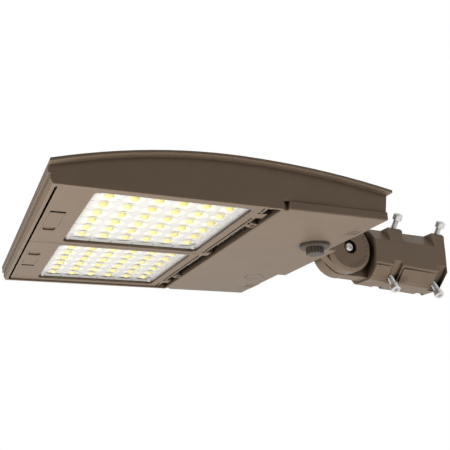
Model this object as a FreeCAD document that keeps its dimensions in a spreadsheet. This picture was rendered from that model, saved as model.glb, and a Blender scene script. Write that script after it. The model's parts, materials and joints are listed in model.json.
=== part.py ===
"""LED flood light: an arched cast head with an LED door and a driver door, hung on a slipfitter.

Head pieces are drawn in the head's own frame: x = 0 at the rear edge of the driver door, the front
towards -x, y = 0 on the middle plane, z = 0 on the underside. Slipfitter pieces are drawn with
x = 0 at the socket's mouth. The part's origin is the centre of that mouth. Left is -y.
"""
import FreeCAD, Part
import math
import os
import re

import Sketcher
from FreeCAD import Placement, Rotation, Vector

SIZES = [
    # Arched housing
    ("nose_x", 355.0, "front fascia ahead of the rear edge"),
    ("apex_x", 170.0, "highest line of the roof ahead of the rear edge"),
    ("apex_z", 47.2, "height of the roof"),
    ("fascia_z", 20.0, "height of the roof at its front edge"),
    ("lip_x", 3.5, "rear lip behind the rear edge"),
    ("lip_z", 32.0, "height of the roof at its rear lip"),
    ("roof", 3.0, "thickness of the roof"),
    ("wall_half", 185.0, "middle plane to the outside of a side wall"),
    ("eave", 9.0, "overhang of the roof past a side wall"),
    ("wall", 3.0, "thickness of the side and rear walls"),
    ("rear_wall_x", 1.0, "rear wall ahead of the rear edge"),
    ("nose_step", 2.0, "lower nose behind the fascia"),
    ("ledge_z", 9.5, "underside of the fascia"),
    ("bend_z", 4.6, "height where the lower nose starts to slope in"),
    ("nose_slope", 2.7, "run of the sloping foot of the nose"),
    ("front_rim", 2.6, "flat rim ahead of the LED door"),
    ("side_rim", 4.0, "flat rim beside the LED door"),
    ("tail_x", 2.5, "upper end of the side walls behind the rear edge"),
    ("rib_x", 139.0, "front face of the cross rib ahead of the rear edge"),
    ("rib", 2.6, "thickness of the cross rib"),
    ("rib_z", 3.0, "underside of the cross rib"),
    ("parting_z", 9.5, "underside of the walls above the driver door"),
    ("wall_end_x", 124.6, "rear end of the deep side walls"),
    ("fin_count", 11, "cooling fins on the roof"),
    ("fin_pitch", 30.0, "spacing of the fins"),
    ("fin", 2.6, "thickness of a fin"),
    ("fin_rise", 4.5, "height of a fin above the chord of the roof"),
    ("fin_front_x", 320.0, "front end of the fins"),
    ("fin_rear_x", 30.0, "rear end of the fins"),
    ("boss_r", 4.6, "radius of a screw boss"),
    # Hinges and fits
    ("hinge_z", 6.0, "height of both hinge lines"),
    ("hinge_r", 3.4, "radius of a hinge barrel"),
    ("pin_r", 1.6, "radius of a hinge pin"),
    ("running", 0.05, "radial clearance of a turning fit"),
    ("seat", 0.02, "radial clearance of a fixed fit"),
    ("slide_gap", 0.3, "clearance beside a sliding piece"),
    ("hinge_gap", 0.6, "clearance at the end of a hinge barrel"),
    ("hinge_boss", 3.5, "length of a housing hinge boss"),
    # LED door
    ("door_gap", 3.1, "gap ahead of the LED door"),
    ("door_corner", 6.0, "front corner radius of the LED door"),
    ("door_rear_gap", 3.2, "gap from the LED door to the cross rib"),
    ("door_side_gap", 0.5, "gap beside the LED door"),
    ("door_z", 2.0, "face of the LED door above the rims"),
    ("door", 3.4, "thickness of the LED door"),
    ("door_rim", 2.0, "thickness of the LED door's upstand"),
    ("door_rim_z", 8.4, "top of the LED door's upstand"),
    ("window_x", 310.5, "front of the windows ahead of the rear edge"),
    ("window_long", 159.5, "window from front to rear"),
    ("window_in", 7.0, "middle plane to the inner edge of a window"),
    ("window_wide", 163.0, "window from side to side"),
    ("window_corner", 7.0, "corner radius of a window"),
    ("groove", 1.2, "width of the middle groove"),
    ("groove_deep", 0.5, "depth of the middle groove"),
    ("lug_y", 152.0, "middle plane to an outer LED door lug"),
    ("lug_half", 6.5, "half width of an LED door lug"),
    # Slide latches of the LED door
    ("latch_x", 339.5, "front edge of a latch ahead of the rear edge"),
    ("latch_wide", 15.0, "latch from front to rear"),
    ("latch_in", 43.0, "middle plane to the inner end of a latch"),
    ("latch_long", 60.0, "length of a latch"),
    ("latch_travel", 5.0, "travel of a latch"),
    ("latch_flange", 1.2, "flange of a latch past its slot"),
    ("latch_flange_t", 1.5, "thickness of a latch flange"),
    ("latch_end", 8.0, "bare end of a latch past its flange"),
    ("finger", 13.0, "finger recess of a latch"),
    ("finger_deep", 1.8, "depth of the finger recess"),
    ("keeper", 1.2, "thickness of a keeper strip"),
    ("keeper_long", 12.0, "width of a keeper strip"),
    ("keeper_foot", 4.0, "foot of a keeper strip"),
    # Light engine
    ("led_count", 6, "LEDs along one side of a board"),
    ("led_pitch", 24.8, "spacing of the LEDs"),
    ("chip", 5.0, "side of an LED package"),
    ("chip_t", 0.8, "thickness of an LED package"),
    ("board", 166.0, "side of a circuit board"),
    ("board_t", 1.6, "thickness of a circuit board"),
    ("lens", 170.0, "side of a lens plate"),
    ("lens_z", 5.7, "outer face of a lens plate"),
    ("lens_t", 2.5, "thickness of a lens plate"),
    ("lens_rim", 2.0, "thickness of the lens plate's upstand"),
    ("dome_r", 10.7, "radius of a lens dome at its base"),
    ("dome_rise", 3.2, "height of a lens dome"),
    ("gasket_in", 0.4, "window edge to the inner edge of its gasket"),
    ("gasket_wide", 2.8, "width of a window gasket"),
    ("heat_z", 12.0, "underside of the heat plate"),
    ("heat", 3.0, "thickness of the heat plate"),
    ("heat_front_x", 334.0, "front edge of the heat plate ahead of the rear edge"),
    ("heat_rear_x", 143.0, "rear edge of the heat plate ahead of the rear edge"),
    ("heat_half", 179.5, "half width of the heat plate"),
    ("heat_screw_x", 80.0, "heat plate screws ahead of and behind the windows' middle"),
    ("heat_screw_y", 177.0, "middle plane to the outer heat plate screws"),
    ("lens_screw_x", 74.5, "lens screws ahead of and behind the window's middle"),
    ("lens_screw_y", 76.0, "lens screws beside the window's middle"),
    ("m3_r", 1.5, "radius of a small screw"),
    ("m3_head_r", 2.8, "head radius of a small screw"),
    ("m3_head", 1.8, "head height of a small screw"),
    ("m4_r", 2.0, "radius of a medium screw"),
    ("m4_head_r", 3.0, "head radius of a medium screw"),
    ("m4_head", 2.4, "head height of a medium screw"),
    ("slot", 0.8, "width of a screw slot"),
    ("screw_bite", 3.0, "depth of a screw hole in a boss"),
    ("thread_gap", 0.2, "end of a screw to the bottom of its hole"),
    ("past", 1.0, "overrun of a cut past a face"),
    # Driver bay
    ("bay_x", 87.0, "middle of the driver ahead of the rear edge"),
    ("tray_z", 34.0, "underside of the driver plate"),
    ("tray", 1.5, "thickness of the driver plate"),
    ("tray_long", 82.0, "driver plate from front to rear"),
    ("tray_half", 172.0, "half width of the driver plate"),
    ("hang_x", 25.0, "driver plate screws ahead of and behind the driver's middle"),
    ("hang_y", 121.0, "middle plane to the driver plate screws"),
    ("driver_long", 200.0, "length of the driver case"),
    ("driver_wide", 68.0, "width of the driver case"),
    ("driver_tall", 27.0, "height of the driver case"),
    ("driver_ear", 12.0, "ear at each end of the driver case"),
    ("ear", 3.0, "thickness of a driver ear"),
    ("surge_y", 150.0, "middle plane to the surge protector"),
    ("surge_long", 58.0, "surge protector from front to rear"),
    ("surge_wide", 34.0, "surge protector from side to side"),
    ("surge_tall", 24.0, "height of the surge protector"),
    ("block_long", 44.0, "terminal block from front to rear"),
    ("block_wide", 26.0, "terminal block from side to side"),
    ("block_tall", 16.0, "height of the terminal block"),
    ("pole_count", 4, "terminals of the terminal block"),
    # Driver door
    ("tub_x", 125.5, "front edge of the driver door ahead of the rear edge"),
    ("tub_half", 186.0, "half width of the driver door"),
    ("tub_notch_x", 7.0, "corner notch of the driver door from front to rear"),
    ("tub_notch_y", 5.0, "corner notch of the driver door from side to side"),
    ("tub", 2.4, "floor and skirt of the driver door"),
    ("tub_gap", 0.3, "gap between skirt and walls"),
    ("tongue_half", 65.0, "half width of the rear tongue"),
    ("tongue_x", 12.0, "rear tongue behind the rear edge"),
    ("tub_edge", 1.4, "rounded lower edge of the driver door"),
    ("arm_x", 131.0, "driver door hinge line ahead of the rear edge"),
    ("arm_y", 120.0, "middle plane to a driver door hinge arm"),
    ("arm_half", 6.6, "half width of a driver door hinge arm"),
    ("tab_half", 2.5, "half width of the housing tab in a hinge arm's fork"),
    ("mark_r", 13.5, "radius of the blank ring mark"),
    ("mark", 1.2, "width of the blank ring mark"),
    ("mark_deep", 0.6, "depth of the blank ring mark"),
    ("catch_y", 137.0, "middle plane to a rear catch"),
    ("catch_half", 15.0, "half width of a rear catch"),
    ("catch_long", 18.0, "rear catch from front to rear"),
    ("catch_travel", 4.0, "travel of a rear catch"),
    ("catch_flange", 2.5, "flange of a rear catch past its slot"),
    ("catch_flange_t", 1.5, "thickness of a catch flange"),
    ("catch_grip", 3, "grip ribs on a rear catch"),
    # Sensor port in the driver door
    ("port_x", 29.0, "sensor port ahead of the rear edge"),
    ("port_y", 82.0, "middle plane to the sensor port"),
    ("port_r", 17.5, "radius of the port flange"),
    ("port", 3.5, "thickness of the port flange"),
    ("port_neck_r", 11.8, "radius of the port's threaded neck"),
    ("port_neck", 8.0, "port neck above the door floor"),
    ("port_stub_r", 6.5, "radius of the stub under the cap"),
    ("port_stub", 5.0, "length of the stub"),
    ("port_seal", 0.8, "thickness of the port seal"),
    ("port_nut_r", 16.0, "radius of the port's ring nut"),
    ("port_nut", 4.0, "thickness of the ring nut"),
    ("cap_r", 10.5, "radius of the sensor cap"),
    ("cap", 7.5, "height of the sensor cap"),
    ("cap_flutes", 18, "grip flutes of the sensor cap"),
    ("cap_flute_r", 1.0, "radius of a grip flute"),
    ("cap_edge", 1.2, "bevel at the end of the sensor cap"),
    # Knuckle
    ("knuckle_x", 56.5, "knuckle bolt behind the rear edge"),
    ("knuckle_z", 18.5, "height of the knuckle bolt"),
    ("tilt", 3.4, "slope of the slipfitter below the head, in degrees"),
    ("disc_r", 33.0, "radius of a knuckle half disc"),
    ("split_y", 12.0, "split between the half discs to the left of the middle plane"),
    ("disc_gap", 0.3, "split to the teeth of a half disc"),
    ("disc", 33.0, "middle plane to the outer face of the arm's half disc"),
    ("disc_edge", 4.0, "bevel round the arm's half disc"),
    ("disc_far", 11.0, "slipfitter's half disc to the right of the middle plane"),
    ("hub_r", 23.0, "radius of the hub behind the slipfitter's half disc"),
    ("hub", 22.0, "middle plane to the outer face of the hub"),
    ("neck_half", 32.5, "half height of the neck behind the half disc"),
    ("hub_neck_half", 22.0, "half height of the neck behind the hub"),
    ("tooth_count", 36, "radial teeth of a half disc"),
    ("tooth", 1.2, "height of a radial tooth"),
    ("tooth_in", 15.0, "inner radius of the teeth"),
    ("flange_half", 30.0, "half width of the arm's flange"),
    ("flange_low", 11.0, "underside of the arm's flange"),
    ("flange_top", 28.5, "top of the arm's flange"),
    ("flange", 5.0, "thickness of the arm's flange"),
    ("arm_gasket", 1.0, "thickness of the gasket behind the flange"),
    ("arm_root", 17.0, "full width root of the arm behind the rear edge"),
    ("web_low", 50.0, "lower edge of the web round the half disc, in degrees"),
    ("web_top", 60.0, "upper edge of the web round the half disc, in degrees"),
    ("arm_bolt_y", 21.0, "middle plane to an arm bolt"),
    ("m8_r", 4.0, "radius of an M8 screw"),
    ("m8_head_r", 6.3, "head radius of an M8 screw"),
    ("m8_head", 8.0, "head height of an M8 screw"),
    ("m8_key", 6.0, "hexagon key of an M8 screw"),
    ("screw_edge", 0.8, "bevel of a large screw"),
    ("wire_r", 4.5, "radius of the wire way"),
    ("wire_y", 8.0, "wire way to the right of the middle plane"),
    ("wire_up", 13.0, "wire way above the knuckle bolt in the slipfitter"),
    ("bolt_r", 5.0, "radius of the knuckle bolt"),
    ("bolt_head_r", 7.3, "head radius of the knuckle bolt"),
    ("bolt_head", 5.0, "head height of the knuckle bolt"),
    ("bolt_key", 6.0, "hexagon key of the knuckle bolt"),
    ("bolt_sink_r", 9.5, "radius of the sink round the bolt head"),
    ("bolt_sink", 6.0, "depth of the sink round the bolt head"),
    ("nut_flats", 17.0, "width of the knuckle nut across flats"),
    ("nut", 8.0, "height of the knuckle nut"),
    ("nut_sink_r", 11.5, "radius of the sink round the knuckle nut"),
    ("nut_sink", 9.0, "depth of the sink round the knuckle nut"),
    ("washer_r", 10.5, "radius of the knuckle washer"),
    ("washer", 1.8, "thickness of the knuckle washer"),
    # Slipfitter
    ("slip_long", 154.5, "socket mouth to the knuckle bolt"),
    ("tube_long", 115.0, "length of the octagonal tube"),
    ("tube_half", 38.5, "half width of the tube's mouth across its flats"),
    ("flat_half", 18.0, "half width of one flat at the mouth"),
    ("root_half", 35.5, "half width of the tube's root across its flats"),
    ("root_flat", 15.5, "half width of one flat at the root"),
    ("socket_r", 30.8, "radius of the tenon socket"),
    ("socket", 104.0, "depth of the tenon socket"),
    ("mouth_edge", 2.0, "bevel round the socket's mouth"),
    ("pad_rise", 2.2, "height of the raised pads on the lower slanted flats"),
    ("pad_half", 10.5, "half width of a raised pad"),
    ("notch", 20.0, "gap between pads at a set screw"),
    ("pocket", 3.0, "depth of a pocket in the gap between pads"),
    ("pocket_long", 15.0, "pocket along the socket"),
    ("boss_edge", 4.0, "bevel along the corner of a screw boss"),
    ("station_out", 9.5, "mouth to the outer set screws"),
    ("station_in", 82.0, "mouth to the inner set screws"),
    ("upper_row", 50.0, "upper row of set screws above the left horizontal, in degrees"),
    ("lower_row", -60.0, "lower row of set screws, in degrees"),
    ("far_row", 175.0, "far row of set screws, in degrees"),
    ("high_head", 60.6, "axis of the socket to the head of an upper set screw"),
    ("low_head", 48.5, "axis of the socket to the head of any other set screw"),
    ("long_shank", 25.0, "shank of an upper set screw"),
    ("short_shank", 17.4, "shank of any other set screw"),
    ("grommet_r", 7.0, "outer radius of the wire grommet's lip"),
    ("grommet", 1.4, "thickness of the wire grommet"),
]

SCREW_ROWS = {
    "upper": ("upper_row", "high_head", "long_shank"),
    "lower": ("lower_row", "low_head", "short_shank"),
    "far": ("far_row", "low_head", "short_shank"),
}
STATIONS = ("station_out", "station_in")
EAR_Y = "(driver_long / 2 + driver_ear / 2)"
NUT_SEAT = "-(hub - nut_sink)"
SIDES = {"left": -1, "right": 1}
PLANES = {"XY": ("XY_Plane", 1), "XZ": ("XZ_Plane", -1), "YZ": ("YZ_Plane", 1)}

doc = FreeCAD.newDocument("flood_light")
sheet = doc.addObject("Spreadsheet::Sheet", "Sizes")
for row, (alias, value, note) in enumerate(SIZES, start=1):
    sheet.set(f"A{row}", note)
    sheet.set(f"B{row}", str(value))
    sheet.setAlias(f"B{row}", alias)

PLACES = {
    "origin_x": "-(Sizes.knuckle_x + Sizes.slip_long * cos(Sizes.tilt))",
    "origin_z": "-(Sizes.knuckle_z - Sizes.slip_long * sin(Sizes.tilt))",
    "front_fall": "Sizes.apex_z - Sizes.fascia_z",
    "rear_fall": "Sizes.apex_z - Sizes.lip_z",
    "front_run": "Sizes.nose_x - Sizes.apex_x",
    "rear_run": "Sizes.apex_x + Sizes.lip_x",
    "front_r": "(front_run ^ 2 + front_fall ^ 2) / (2 * front_fall)",
    "rear_r": "(rear_run ^ 2 + rear_fall ^ 2) / (2 * rear_fall)",
    "mouth_x": "Sizes.nose_x - Sizes.nose_step - Sizes.nose_slope - Sizes.front_rim",
    "door_front": "mouth_x - Sizes.door_gap",
    "door_rear": "Sizes.rib_x + Sizes.door_rear_gap",
    "door_half": "Sizes.wall_half - Sizes.side_rim - Sizes.door_side_gap",
    "door_top": "Sizes.door_z + Sizes.door",
    "hinge_x": "Sizes.rib_x - Sizes.rib / 2",
    "rib_rear": "Sizes.rib_x - Sizes.rib",
    "optic_x": "Sizes.window_x - Sizes.window_long / 2",
    "optic_y": "Sizes.window_in + Sizes.window_wide / 2",
    "led_span": "Sizes.led_pitch * (Sizes.led_count - 1)",
    "board_z": "Sizes.heat_z - Sizes.board_t",
    "dome_ball": "(Sizes.dome_r ^ 2 + Sizes.dome_rise ^ 2) / (2 * Sizes.dome_rise)",
    "tub_top": "Sizes.parting_z - Sizes.tub_gap",
    "facet": "(Sizes.tube_half + Sizes.flat_half) / sqrt(2)",
    "facet_root": "(Sizes.root_half + Sizes.root_flat) / sqrt(2)",
    "facet_mid": "(facet + facet_root) / 2",
}
places = doc.addObject("Spreadsheet::Sheet", "Places")
for row, (alias, formula) in enumerate(PLACES.items(), start=1):
    places.set(f"A{row}", "=" + formula)
    places.setAlias(f"A{row}", alias)
doc.recompute()

OWNER = {alias: "Sizes" for alias, _, _ in SIZES}
OWNER.update({alias: "Places" for alias in PLACES})


def expr(text):
    """Write a formula's plain names as references to the sheets' cells."""
    return re.sub(r"[a-z_][a-z_0-9]*", lambda m: cell(m.group(0)), text)


def cell(name):
    """Name a cell with its sheet, and leave other words, such as functions, alone."""
    return f"{OWNER[name]}.{name}" if name in OWNER else name


def num(text):
    """Work a formula out to a number."""
    return float(sheet.evalExpression(expr(text)))


def new_body(label):
    """Start a sub-part."""
    body = doc.addObject("PartDesign::Body", label)
    body.Label = label
    return body


def in_head(body, x="0", y="0", z="0"):
    """Place a sub-part drawn in the head's frame, or at a point of that frame."""
    for axis, formula in (("x", f"origin_x + ({x})"), ("y", y), ("z", f"origin_z + ({z})")):
        body.setExpression(f"Placement.Base.{axis}", expr(formula))
    return body


def in_slipfitter(body):
    """Place a sub-part drawn in the slipfitter's frame: it slopes about the mouth's centre."""
    body.Placement = Placement(Vector(), Rotation(Vector(0, 1, 0), num("tilt")))
    body.setExpression("Placement.Rotation.Angle", expr("tilt"))
    return body


def box(x0, y0, x1, y1):
    """Outline a rectangle between two corners."""
    return [(x0, y0), (x1, y0), (x1, y1), (x0, y1)]


def middle_box(x, y, half_x, half_y):
    """Outline a rectangle round its middle."""
    return box(f"{x} - ({half_x})", f"{y} - ({half_y})", f"{x} + ({half_x})", f"{y} + ({half_y})")


def round_box(x, y, half_x, half_y, r):
    """Outline a rectangle with rounded corners round its middle."""
    left, right = f"{x} - ({half_x})", f"{x} + ({half_x})"
    low, high = f"{y} - ({half_y})", f"{y} + ({half_y})"
    return [
        (f"{left} + ({r})", low), (f"{right} - ({r})", low, r, 1),
        (right, f"{low} + ({r})"), (right, f"{high} - ({r})", r, 1),
        (f"{right} - ({r})", high), (f"{left} + ({r})", high, r, 1),
        (left, f"{high} - ({r})"), (left, f"{low} + ({r})", r, 1),
    ]


def circle(x, y, r):
    """Describe a circle for a sketch."""
    return ("circle", x, y, r)


def round_end(x, y, r, way):
    """Points of a half circle that bulges towards +x, drawn upwards, or towards -x, drawn downwards."""
    return [(x, f"{y} - {way} * {r}", r, 1), (f"{x} + {way} * {r}", y, r, 1), (x, f"{y} + {way} * {r}")]


def hexagon(flats):
    """Outline a hexagon about the sketch's origin."""
    corner = f"({flats}) / sqrt(3)"
    return [(f"{corner} * cos({60 * k})", f"{corner} * sin({60 * k})") for k in range(6)]


def arc_between(start, end, r, turn):
    """Make the short arc from start to end: turn is 1 where it bends left, -1 where it bends right."""
    chord = end - start
    height = math.sqrt(max(r * r - chord.Length ** 2 / 4, 0.0))
    left = Vector(-chord.y, chord.x, 0).normalize()
    centre = (start + end) * 0.5 + left * (height * turn)
    first, last = (start, end) if turn > 0 else (end, start)
    angles = [math.atan2(p.y - centre.y, p.x - centre.x) for p in (first, last)]
    if angles[1] < angles[0]:
        angles[1] += 2 * math.pi
    return Part.ArcOfCircle(Part.Circle(centre, Vector(0, 0, 1), r), *angles)


def drive(sketch, kind, items, value, formula):
    """Add a dimension to a sketch and bind it to its formula."""
    index = sketch.addConstraint(Sketcher.Constraint(kind, *items, value))
    sketch.setExpression(f"Constraints[{index}]", expr(formula))


def draw(sketch, outline):
    """Draw one closed outline or circle, with every point and radius bound to the sheets."""
    base = sketch.GeometryCount
    if outline[0] == "circle":
        _, x, y, r = outline
        spot = Vector(num(x), num(y), 0)
        sketch.addGeometry(Part.Circle(spot, Vector(0, 0, 1), num(r)), False)
        drive(sketch, "DistanceX", (-1, 1, base, 3), spot.x, x)
        drive(sketch, "DistanceY", (-1, 1, base, 3), spot.y, y)
        drive(sketch, "Radius", (base,), num(r), r)
        return
    spots = [Vector(num(point[0]), num(point[1]), 0) for point in outline]
    count = len(spots)
    starts = []
    ends = []
    for i, point in enumerate(outline):
        start, end = spots[i], spots[(i + 1) % count]
        bent = len(point) == 4
        edge = arc_between(start, end, num(point[2]), point[3]) if bent else Part.LineSegment(start, end)
        sketch.addGeometry(edge, False)
        backwards = bent and point[3] < 0
        starts.append(2 if backwards else 1)
        ends.append(1 if backwards else 2)
    joins = []
    for i in range(count):
        after = (i + 1) % count
        joins.append(Sketcher.Constraint("Coincident", base + i, ends[i], base + after, starts[after]))
    sketch.addConstraint(joins)
    for i, point in enumerate(outline):
        drive(sketch, "DistanceX", (-1, 1, base + i, starts[i]), spots[i].x, point[0])
        drive(sketch, "DistanceY", (-1, 1, base + i, starts[i]), spots[i].y, point[1])
        if len(point) == 4:
            drive(sketch, "Radius", (base + i,), num(point[2]), point[2])


def sketch_on(body, name, plane, level, outlines, centre=("0", "0")):
    """Draw outlines on a plane of the sub-part, at a level along its axis and about a centre on it."""
    role, sign = PLANES[plane]
    sketch = body.newObject("Sketcher::SketchObject", f"{body.Name}_{name}")
    sketch.AttachmentSupport = [(origin_feature(body, role), "")]
    sketch.MapMode = "FlatFace"
    for axis, formula in zip("xyz", (*centre, f"{sign} * ({level})")):
        sketch.setExpression(f"AttachmentOffset.Base.{axis}", expr(formula))
    for outline in outlines:
        draw(sketch, outline)
    return sketch


def origin_feature(body, role):
    """Find one of the sub-part's own axes or planes."""
    return next(item for item in body.Origin.OriginFeatures if item.Role == role)


def solid(body, name, plane, outlines, low, high):
    """Add outlines as a prism from one level to another."""
    pad = body.newObject("PartDesign::Pad", f"{body.Name}_{name}_pad")
    pad.Profile = sketch_on(body, name, plane, low, outlines)
    pad.Reversed = PLANES[plane][1] < 0
    pad.Refine = False
    pad.setExpression("Length", expr(f"({high}) - ({low})"))
    doc.recompute()
    return pad


def cut(body, name, plane, outlines, low, high, centre=("0", "0")):
    """Cut outlines as a prism from one level to another."""
    before = body.Shape.Volume
    hole = body.newObject("PartDesign::Pocket", f"{body.Name}_{name}_cut")
    hole.Profile = sketch_on(body, name, plane, low, outlines, centre)
    hole.Reversed = PLANES[plane][1] > 0
    hole.Refine = False
    hole.setExpression("Length", expr(f"({high}) - ({low})"))
    doc.recompute()
    if body.Shape.Volume >= before:
        raise RuntimeError(f"{body.Label}: {name} cuts nothing")
    return hole


def turned(body, name, outline):
    """Turn an outline of (radius, height) points about the sub-part's z axis."""
    turn = body.newObject("PartDesign::Revolution", f"{body.Name}_{name}_turn")
    turn.Profile = sketch_on(body, name, "XZ", "0", [outline])
    turn.ReferenceAxis = (turn.Profile[0], ["V_Axis"])
    turn.Angle = 360.0
    doc.recompute()
    return turn


def rows(body, features, *steps):
    """Repeat features along the sub-part's axes: each step is an axis, a count and a whole length."""
    group = body.newObject("PartDesign::MultiTransform", f"{body.Name}_{features[0].Name}_rows")
    group.Originals = features
    group.Refine = False
    lines = []
    for axis, count, length in steps:
        line = body.newObject("PartDesign::LinearPattern", f"{group.Name}_{axis}")
        line.Direction = (origin_feature(body, f"{axis}_Axis"), [""])
        line.setExpression("Occurrences", expr(count))
        line.setExpression("Length", expr(length))
        lines.append(line)
    group.Transformations = lines
    body.Tip = group
    doc.recompute()
    return group


def round_pattern(body, feature, count, axis):
    """Repeat a feature round an axis."""
    ring = body.newObject("PartDesign::PolarPattern", f"{feature.Name}_ring")
    ring.Originals = [feature]
    ring.Axis = axis
    ring.Angle = 360.0
    ring.setExpression("Occurrences", expr(count))
    body.Tip = ring
    doc.recompute()
    return ring


def dress(body, kind, size, test):
    """Bevel or round the edges that pass a test of their two ends and their middle."""
    base = body.Tip
    names = []
    for index, edge in enumerate(base.Shape.Edges, start=1):
        middle = edge.valueAt((edge.FirstParameter + edge.LastParameter) / 2)
        if test([vertex.Point for vertex in edge.Vertexes] + [middle]):
            names.append(f"Edge{index}")
    if not names:
        raise RuntimeError(f"{body.Label}: no edge to dress")
    feature = body.newObject(f"PartDesign::{kind}", f"{body.Name}_{kind}")
    feature.Base = (base, names)
    feature.setExpression("Radius" if kind == "Fillet" else "Size", expr(size))
    doc.recompute()
    return feature


def near(value, target):
    """Say whether two lengths are equal to a thousandth of a millimetre."""
    return abs(value - target) < 1e-3


def roof_at(x, below):
    """Height, at x, of the surface that lies a given depth under the roof."""
    r = "front_r" if num(f"({x}) + apex_x") < 0 else "rear_r"
    return f"(apex_z - {r} + sqrt(({r} - ({below})) ^ 2 - (({x}) + apex_x) ^ 2))"


def under_roof(front, rear, below):
    """Points along the roof's arch from a front x to a rear x, at a depth under the roof."""
    points = [(front, roof_at(front, below))]
    if num(f"({front}) + apex_x") < 0 < num(f"({rear}) + apex_x"):
        points[0] += (f"front_r - ({below})", -1)
        points.append(("-apex_x", f"apex_z - ({below})"))
    r = "front_r" if num(f"({rear}) + apex_x") <= 0 else "rear_r"
    points[-1] += (f"{r} - ({below})", -1)
    points.append((rear, roof_at(rear, below)))
    return points


def back_along(points):
    """Walk the points of an arch the other way, with its bends reversed."""
    bends = [point[2:] for point in points[:-1]]
    spots = [point[:2] for point in reversed(points)]
    walk = [spot + (bend[0], 1) for spot, bend in zip(spots, reversed(bends))]
    return walk + [spots[-1]]


def housing():
    """Cast housing: arched roof with eaves, nose, walls, cross rib, hinge bosses, bosses and fins."""
    body = new_body("housing")
    plate = under_roof("-nose_x", "lip_x", "0") + back_along(under_roof("-nose_x", "lip_x", "roof"))
    solid(body, "roof", "XZ", [plate], "-(wall_half + eave)", "wall_half + eave")
    lower = "-(nose_x - nose_step)"
    walls = under_roof("-nose_x", "-rear_wall_x", "roof / 2") + [
        ("-rear_wall_x", "parting_z"), ("-wall_end_x", "parting_z"), ("-wall_end_x", "0"),
        (f"{lower} + nose_slope", "0"), (lower, "bend_z"), (lower, "ledge_z"), ("-nose_x", "ledge_z"),
    ]
    solid(body, "walls", "XZ", [walls], "-wall_half", "wall_half")
    chamber = under_roof("-mouth_x", "-rib_x", "roof") + [("-rib_x", "-past"), ("-mouth_x", "-past")]
    cut(body, "chamber", "XZ", [chamber], "-(wall_half - side_rim)", "wall_half - side_rim")
    mouth, inside = num("-mouth_x"), num("wall_half - side_rim")
    dress(body, "Fillet", "door_corner - door_side_gap",
          lambda spots: all(near(spot.x, mouth) and near(abs(spot.y), inside) for spot in spots))
    rear = "-(rear_wall_x + wall)"
    bay = under_roof("-rib_rear", rear, "roof") + [(rear, "-past"), ("-rib_rear", "-past")]
    cut(body, "bay", "XZ", [bay], "-(wall_half - wall)", "wall_half - wall")
    channel = box("-rib_x - rib", "-past", "-rib_rear + rib", "rib_z")
    cut(body, "rib_foot", "XZ", [channel], "-(wall_half - side_rim)", "wall_half - side_rim")
    tail = [(rear, "parting_z"), ("-rear_wall_x", "parting_z"), ("tail_x", roof_at("tail_x", "roof / 2")),
            (rear, roof_at(rear, "roof / 2"))]
    solid(body, "left_tail", "XZ", [tail], "-wall_half", "-wall_half + wall")
    solid(body, "right_tail", "XZ", [tail], "wall_half - wall", "wall_half")
    hinge_bosses(body)
    plate_bosses(body)
    cut(body, "wire_way", "YZ", [circle("wire_y", "knuckle_z", "wire_r")], rear, "0")
    cut(body, "arm_bolts", "YZ", arm_bolt_circles(), rear, "0")
    cooling_fins(body)
    return in_head(body)


def hinge_bosses(body):
    """Bosses on the cross rib that hold the hinge pins of both doors."""
    gap = "(lug_half + hinge_gap)"
    lugs = [f"{lug} * lug_y" for lug in (-1, 0, 1)]
    notches = [box("-rib_x - rib", f"{y} - {gap}", "-rib_rear + rib", f"{y} + {gap}") for y in lugs]
    swing = "hinge_x - arm_x + hinge_r"
    cut(body, "lug_notches", "XY", notches, "0", f"hinge_z + {swing} + hinge_r + hinge_gap")
    top = "hinge_z + 2 * hinge_r"
    barrel = [("-hinge_x + hinge_r", top), ("-hinge_x - hinge_r", top),
              ("-hinge_x - hinge_r", "hinge_z", "hinge_r", 1),
              ("-hinge_x", "hinge_z - hinge_r", "hinge_r", 1), ("-hinge_x + hinge_r", "hinge_z")]
    bore = circle("-hinge_x", "hinge_z", "pin_r + seat")
    tab = [("-rib_rear - rib / 2", "hinge_z + hinge_r"), ("-rib_rear - rib / 2", "hinge_z - hinge_r")]
    tab += round_end("-arm_x", "hinge_z", "hinge_r", 1)
    tab_bore = circle("-arm_x", "hinge_z", "pin_r + seat")
    tabs = solid(body, "arm_tab", "XZ", [tab, tab_bore], "-arm_y - tab_half", "-arm_y + tab_half")
    rows(body, [tabs], ("Y", "2", "2 * arm_y"))
    for end, way in (("inner", 1), ("outer", -1)):
        low = f"-lug_y + {way} * {gap} + {min(way, 0)} * hinge_boss"
        boss = solid(body, f"lug_boss_{end}", "XZ", [barrel, bore], low, f"{low} + hinge_boss")
        rows(body, [boss], ("Y", "3", "2 * lug_y"))
    cut(body, "pin_way", "XZ", [bore], "-door_half", "door_half")


def plate_bosses(body):
    """Bosses under the roof for the heat plate and the driver plate, in rows across the housing."""
    for name, middle, step, ways, y, level in (
            ("heat", "-optic_x", "heat_screw_x", (-1, 0, 1), "heat_screw_y", "heat_z + heat"),
            ("hang", "-bay_x", "hang_x", (-1, 1), "hang_y", "tray_z + tray")):
        holes = []
        for way in ways:
            x = f"{middle} + {way} * {step}"
            spots = [(x, f"{side} * {y}") for side in ways]
            top = roof_at(x, "roof / 2")
            bosses = [circle(*spot, "boss_r") for spot in spots]
            solid(body, f"{name}_boss_{way + 1}", "XY", bosses, level, top)
            holes += [circle(*spot, "m4_r + seat") for spot in spots]
        cut(body, f"{name}_holes", "XY", holes, level, f"{level} + screw_bite")


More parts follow.
